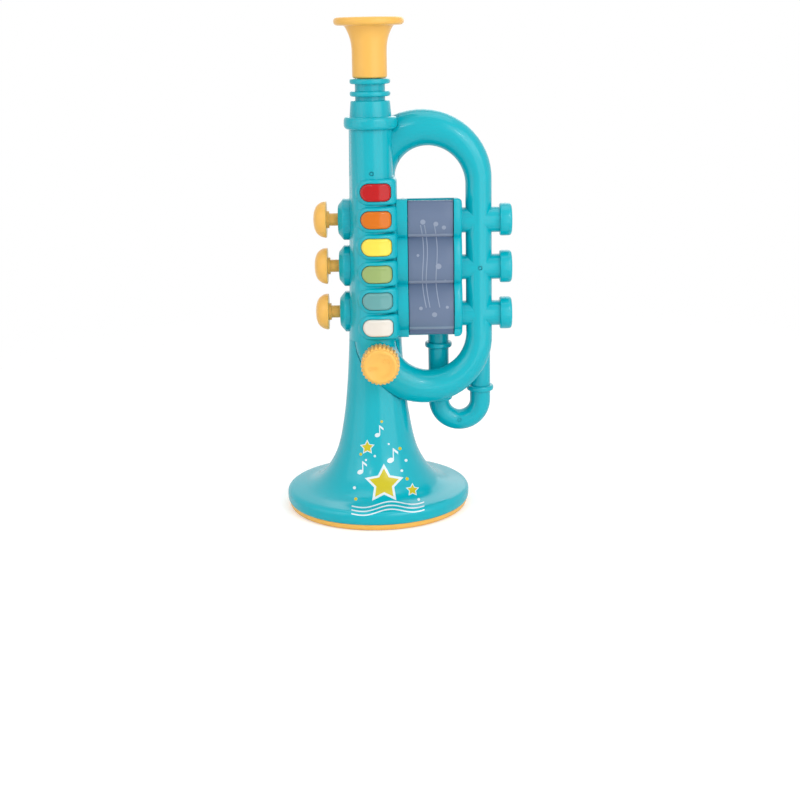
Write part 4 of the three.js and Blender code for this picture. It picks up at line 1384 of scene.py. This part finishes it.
@dataclass
class Valves:
    """Nuts and pistons on the left side."""

    nut_x: Point = (-23.4, -4.8)
    nut_radius: float = 13.9
    chamfer: Point = (4.4, 3.52)
    chamfer_rounds: Point = (0.5, 0.6)
    stem: float = 4.2
    # Roundings of the stem's foot and end
    stem_rounds: Point = (0.2, 0.4)
    head_x: Point = (-40.2, -31.2)
    head_radius: float = 12.2
    head_shape: tuple[Point, ...] = ((0, 0), (0.42, 0.06), (0.74, 0.24), (0.93, 0.55), (1, 0.86))
    head_round: float = 0.5
    collar: Point = (5.8, 1.8)
    collar_round: float = 0.5
    end: float = -9.5

    def nut(self, z: float, body: Solid) -> Solid:
        """One nut, saddled on the body."""
        bore, wide = self.stem + SIZES.gap, self.nut_radius
        start, end = self.nut_x
        inset, deep = self.chamfer
        front, side = self.chamfer_rounds
        line = [(bore, start, 0), (wide - inset, start, front), (wide, start + deep, side)]
        profile = rounded([*line, (wide, end, 0), (bore, end, 0)])
        return combined(turned(profile, Axis.X, (0, SIZES.piston_y, z), closed=True), [body], Cut.TAKE)

    def piston(self, z: float) -> Solid:
        """One piston with its mushroom head."""
        front, back = self.head_x
        collar, width = self.collar
        end, stem = back + width, self.stem
        thick = back - front
        head = curved([(self.head_radius * wide, front + thick * deep) for wide, deep in self.head_shape])
        rim = [(*head[-1], 0), (self.head_radius, back, self.head_round), (collar, back, 0)]
        head += rounded(rim)[1:]
        foot, tip = self.stem_rounds
        shaft = [(collar, back, 0), (collar, end, self.collar_round), (stem, end, foot)]
        shaft += [(stem, self.end, tip), (0, self.end, 0)]
        return turned([*head, *rounded(shaft)], Axis.X, (0, SIZES.piston_y, z))

    def build(self) -> None:
        """Makes nuts and pistons."""
        body = FORMS.body(-SIZES.seam)
        for k, z in enumerate(SIZES.valve_z, 1):
            finished(self.nut(z, body), f"nut_{k}", TURQUOISE, [f"valve_nut_{k}"])
            finished(self.piston(z), f"piston_cap_{k}", CREAM, [f"piston_{k}"], f"piston_{k}")


@dataclass
class Knob:
    """Ribbed volume knob with raised words and an arrow on its face.

    Each of the edge's rings has its inset, its depth behind the face and its share of the ribs.
    The arc has its radius, then its start and end in quarter turns.
    """

    radius: float = 12.8
    rib: float = 1.25
    rib_swell: float = 0.6
    ribs: int = 28
    per_rib: int = 10
    back: float = -26.8
    back_edge: float = 0.6
    front: float = -42.4
    edge: tuple[Corner, ...] = (
        (0, 3.2, 1), (0, 2.7, 0.85), (0, 2.3, 0.5), (0, 2.1, 0), (0.1, 1.2, 0), (0.5, 0.5, 0),
        (1.1, 0.12, 0), (1.8, 0, 0), (2.2, 0, 0), (2.5, 0.25, 0),
    )
    dish: float = 0.25
    middle: float = 2.0
    bore: float = 3.3
    bore_end: float = -37.3
    letters: tuple[tuple[str, float, float], ...] = (("OFF", -4.6, -1.2), ("ON", 4.4, 3.6))
    letter_height: float = 3.6
    relief: float = 0.22
    arc: Corner = (6.6, -0.9, 0.35)
    arc_width: float = 0.5
    arc_steps: int = 16
    arrow: Corner = (0.8, 8.0, 0.02)
    crease: float = 50.0

    def word(self, text: str, x: float, z: float) -> Solid:
        """A raised word with its middle at a place on the face."""
        curve = bpy.data.curves.new(text, "FONT")
        curve.body = text
        curve.size = self.letter_height
        curve.extrude = self.relief
        curve.align_x = curve.align_y = "CENTER"
        thing = placed(text, curve)
        bm = shown(thing)
        bpy.data.objects.remove(thing)
        bpy.data.curves.remove(curve)
        at = Vector((SIZES.knob_x + x, self.front + self.dish, SIZES.knob_z + z))
        turn = Matrix.Rotation(QUARTER, 4, "X")
        bmesh.ops.transform(bm, matrix=Matrix.Translation(at) @ turn, verts=bm.verts)
        return bm

    def pointer(self) -> Solid:
        """The raised arrow between the words."""
        radius, start, end = self.arc
        head, spread, tip = self.arrow
        face, rise = self.front + self.dish, self.relief
        loops = []
        for k in range(self.arc_steps + 1):
            share = k / self.arc_steps
            turn = (start + (end - start) * share) * QUARTER
            half = self.arc_width / 2 if share < head else self.arc_width * spread * (1 - share) + tip
            ring = ((-half, -rise), (half, -rise), (half, rise), (-half, rise))
            loops.append([self.on_face(radius + out, face + y, turn) for out, y in ring])
        return lofted(loops)

    @staticmethod
    def on_face(reach: float, depth: float, turn: float) -> Vector:
        """A point at a distance and an angle round the knob's axis."""
        x, z = reach * math.cos(turn), reach * math.sin(turn)
        return Vector((SIZES.knob_x + x, depth, SIZES.knob_z + z))

    def loop(self, radius: float, depth: float, rib: float) -> list[Vector]:
        """A ring with ribs that stand out by rib."""
        count = self.ribs * self.per_rib
        ring = []
        for k in range(count):
            turn = FULL_TURN * k / count
            swell = abs(math.cos(self.ribs * turn / 2)) ** self.rib_swell
            ring.append(self.on_face(radius + rib * swell, depth, turn))
        return ring

    def build(self) -> None:
        """Makes the knob."""
        core, rib = self.radius - self.rib, self.rib
        steps = [(core - self.back_edge, self.back, rib), (core, self.back - self.back_edge, rib)]
        steps += [(core - inset, self.front + deep, rib * share) for inset, deep, share in self.edge]
        solid = lofted([self.loop(*step) for step in [*steps, (self.middle, self.front + self.dish, 0)]])
        socket = rod(self.bore, (self.bore_end, 0), Axis.Y, SIZES.knob_at)
        marks = [*[self.word(*letters) for letters in self.letters], self.pointer()]
        bm = gathered([combined(solid, [socket], Cut.TAKE), *marks])
        finished(bm, "knob_cap", CREAM, ["volume_knob"], "volume_knob", crease=self.crease)


@dataclass
class TuningSlide:
    """U-shaped slide pipe under the casing."""

    span: float = 28.5
    bend_z: float = 70.5
    top: float = 121.9
    right_top: float = 112.0
    closed_end: tuple[Point, ...] = ((3, 1), (1.6, 0.96), (0.6, 0.82), (0, 0.55))
    ring: Point = (9.2, 3.8)
    ring_round: float = 1.5
    rings: tuple[Point, ...] = ((0, 110), (0, 73), (1, 79))
    steps: int = 36
    dot: Corner = (56.8, 57.6, 1.2)

    def build(self) -> None:
        """Makes the slide."""
        x, y, radius = SIZES.slide_x, SIZES.slide_y, SIZES.slide_radius
        half = self.span / 2
        stations = [(Vector((x, y, self.top)), math.pi, radius)]
        for k in range(self.steps + 1):
            angle = math.pi * (1 + k / self.steps)
            centre = Vector((x + half + half * math.cos(angle), y, self.bend_z + half * math.sin(angle)))
            stations.append((centre, angle, radius))
        for drop, share in self.closed_end:
            centre = Vector((x + self.span, y, self.right_top - drop))
            stations.append((centre, FULL_TURN, radius * share))
        solids = [FORMS.pipe(stations)]
        width, half, edge = self.ring[0], self.ring[1] / 2, self.ring_round
        for side, z in self.rings:
            low, high = z - half, z + half
            profile = rounded([(0, low, 0), (width, low, edge), (width, high, edge), (0, high, 0)])
            solids.append(turned(profile, at=(x + self.span * side, y, 0)))
        bm = combined(joined(solids), [FORMS.lower_bend(-SIZES.gap), sink_rings([self.dot])], Cut.TAKE)
        finished(bm, "slide_pipe", TURQUOISE, ["tuning_slide"])


def dress_inside() -> None:
    """Gives the CAD nodes that stay in the scene their materials."""
    finishes = {
        "potentiometer": DARK, "knob_shaft": STEEL, "speaker": DARK, "key_board": BOARD,
        "key_pad": SILICONE, "piston_board": BOARD, "light_board": BOARD, "battery_1": CELL,
        "battery_2": CELL, "battery_3": CELL, "contact_lower": STEEL, "contact_upper": STEEL,
        "battery_door": TURQUOISE,
    }
    for name, finish in finishes.items():
        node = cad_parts[name]
        node.data.materials.clear()
        node.data.materials.append(MATERIALS.get(finish, f"inside_{name}"))
        log.info("%s keeps its CAD mesh", name)


# Studio


# Height that the lamps are aimed at, in metres
AIM_HEIGHT = 0.17


@dataclass(frozen=True)
class Lamp:
    """A soft rectangular lamp, in metres and watts, its angle counted from the camera's side."""

    name: str
    angle: float
    reach: float
    height: float
    size: Point
    power: float
    upright: bool = False

    def build(self) -> None:
        """Adds the lamp, aimed at the middle of the trumpet, or level if upright."""
        turn = math.radians(self.angle)
        at = Vector((self.reach * math.sin(turn), -self.reach * math.cos(turn), self.height))
        data = bpy.data.lights.new(self.name, "AREA")
        data.shape = "RECTANGLE"
        data.size, data.size_y = self.size
        data.energy = self.power
        lamp = placed(self.name, data)
        lamp.visible_camera = False
        aim = Vector((0, 0, self.height if self.upright else AIM_HEIGHT)) - at
        lamp.matrix_world = Matrix.Translation(at) @ aim.to_track_quat("-Z", "Y").to_matrix().to_4x4()


@dataclass
class Studio:
    """Floor, light and camera."""

    # The camera's place in millimetres, and its turns in degrees
    camera: Corner = (16.8, -931.7, 319.3)
    pitch: float = 12.212
    roll: float = -0.956
    lens: float = 63.0
    shift: Point = (0.0, -0.08)
    clip: Point = (0.01, 100.0)
    floor_size: float = 6.0
    floor_tone: float = 0.9
    floor_roughness: float = 0.9
    floor_lift: float = 0.3
    # Reaches from the bell's axis in metres: where the floor fades, and where it is open below
    fade: Point = (0.2, 0.75)
    open_under: float = 0.057
    ambient: float = 0.45
    lamps: tuple[Lamp, ...] = (
        Lamp("key", 42, 1.25, 0.95, (0.95, 0.95), 4.2),
        Lamp("fill", -41, 1.25, 0.95, (0.9, 0.9), 2.8),
        Lamp("right_spot", 26, 1.0, 0.8, (0.09, 0.09), 0.45),
        Lamp("left_spot", -20, 1.0, 0.85, (0.09, 0.09), 0.35),
        Lamp("right_panel", 38, 0.5, 0.3, (0.5, 0.6), 1.2, upright=True),
        Lamp("left_panel", -62, 0.6, 0.3, (0.45, 0.6), 0.7, upright=True),
        Lamp("top", 180, 0.1, 1.4, (1.2, 0.9), 4.0),
        Lamp("back", 170, 1.3, 0.8, (1.0, 1.0), 3.0),
    )

    def look(self) -> None:
        """Places the camera."""
        data = bpy.data.cameras.new("camera")
        data.lens = self.lens
        data.shift_x, data.shift_y = self.shift
        data.clip_start, data.clip_end = self.clip
        camera = placed("camera", data)
        pitch = Matrix.Rotation(math.radians(90 - self.pitch), 4, "X")
        roll = Matrix.Rotation(math.radians(self.roll), 4, "Z")
        at = Vector(self.camera) * MM + Vector((BELL_X, 0, 0))
        camera.matrix_world = Matrix.Translation(at) @ (pitch @ roll)
        bpy.context.scene.camera = camera

    def light(self) -> None:
        """Adds the lamps, and a world that shows white but lights at the ambient level."""
        for lamp in self.lamps:
            lamp.build()
        world = bpy.data.worlds.new("world")
        bpy.context.scene.world = world
        graph = Graph(world, "Background")
        rays = ("Is Camera Ray", "Is Glossy Ray", "Is Transmission Ray")
        seen = any_of([graph.node("ShaderNodeLightPath", output=ray) for ray in rays])
        graph.set("Color", (1, 1, 1, 1))
        graph.set("Strength", seen * (1 - self.ambient) + self.ambient)

    def floor_material(self) -> bpy.types.Material:
        """White floor that keeps the shadow and fades into the background far from the trumpet."""
        graph = Graph(bpy.data.materials.new("floor"))
        ends = {0: graph.place(), 1: (BELL_X, 0, 0)}
        reach = graph.node("ShaderNodeVectorMath", ends, output="Value", operation="DISTANCE")
        near, far = self.fade
        span = {"Value": reach, "From Min": near, "From Max": far, "To Min": 1.0, "To Max": 0.0}
        fade = graph.node("ShaderNodeMapRange", span, interpolation_type="SMOOTHSTEP")
        seen = graph.node("ShaderNodeLightPath", output="Is Camera Ray")
        graph.set("Base Color", (*[self.floor_tone] * 3, 1))
        graph.set("Roughness", self.floor_roughness)
        graph.set("Specular IOR Level", 0.0)
        lift = seen * self.floor_lift
        graph.set("Emission Color", graph.node("ShaderNodeCombineColor", {0: lift, 1: lift, 2: lift}))
        graph.set("Emission Strength", 1.0)
        below = graph.node("ShaderNodeNewGeometry", output="Backfacing")
        graph.set("Alpha", fade * (1 - below) * (reach > self.open_under))
        return graph.owner

    def floor(self) -> None:
        """Adds the pale floor."""
        bm = bmesh.new()
        bmesh.ops.create_grid(bm, x_segments=1, y_segments=1, size=self.floor_size / 2)
        mesh = mesh_of(bm, "floor")
        bm.free()
        mesh.materials.append(self.floor_material())
        floor = placed("floor", mesh)

    def build(self) -> None:
        """Sets the whole studio up."""
        self.floor()
        self.light()
        self.look()
        bpy.context.scene.view_settings.view_transform = "Standard"


def main() -> None:
    logging.basicConfig(level=logging.INFO)
    kinds = (Mouthpiece, Receiver, Bell, BaseCover, Shells, Lens, Keys, Valves, Knob, TuningSlide, Screws)
    for kind in kinds:
        kind().build()
    dress_inside()
    Studio().build()


if __name__ == "__main__":
    main()
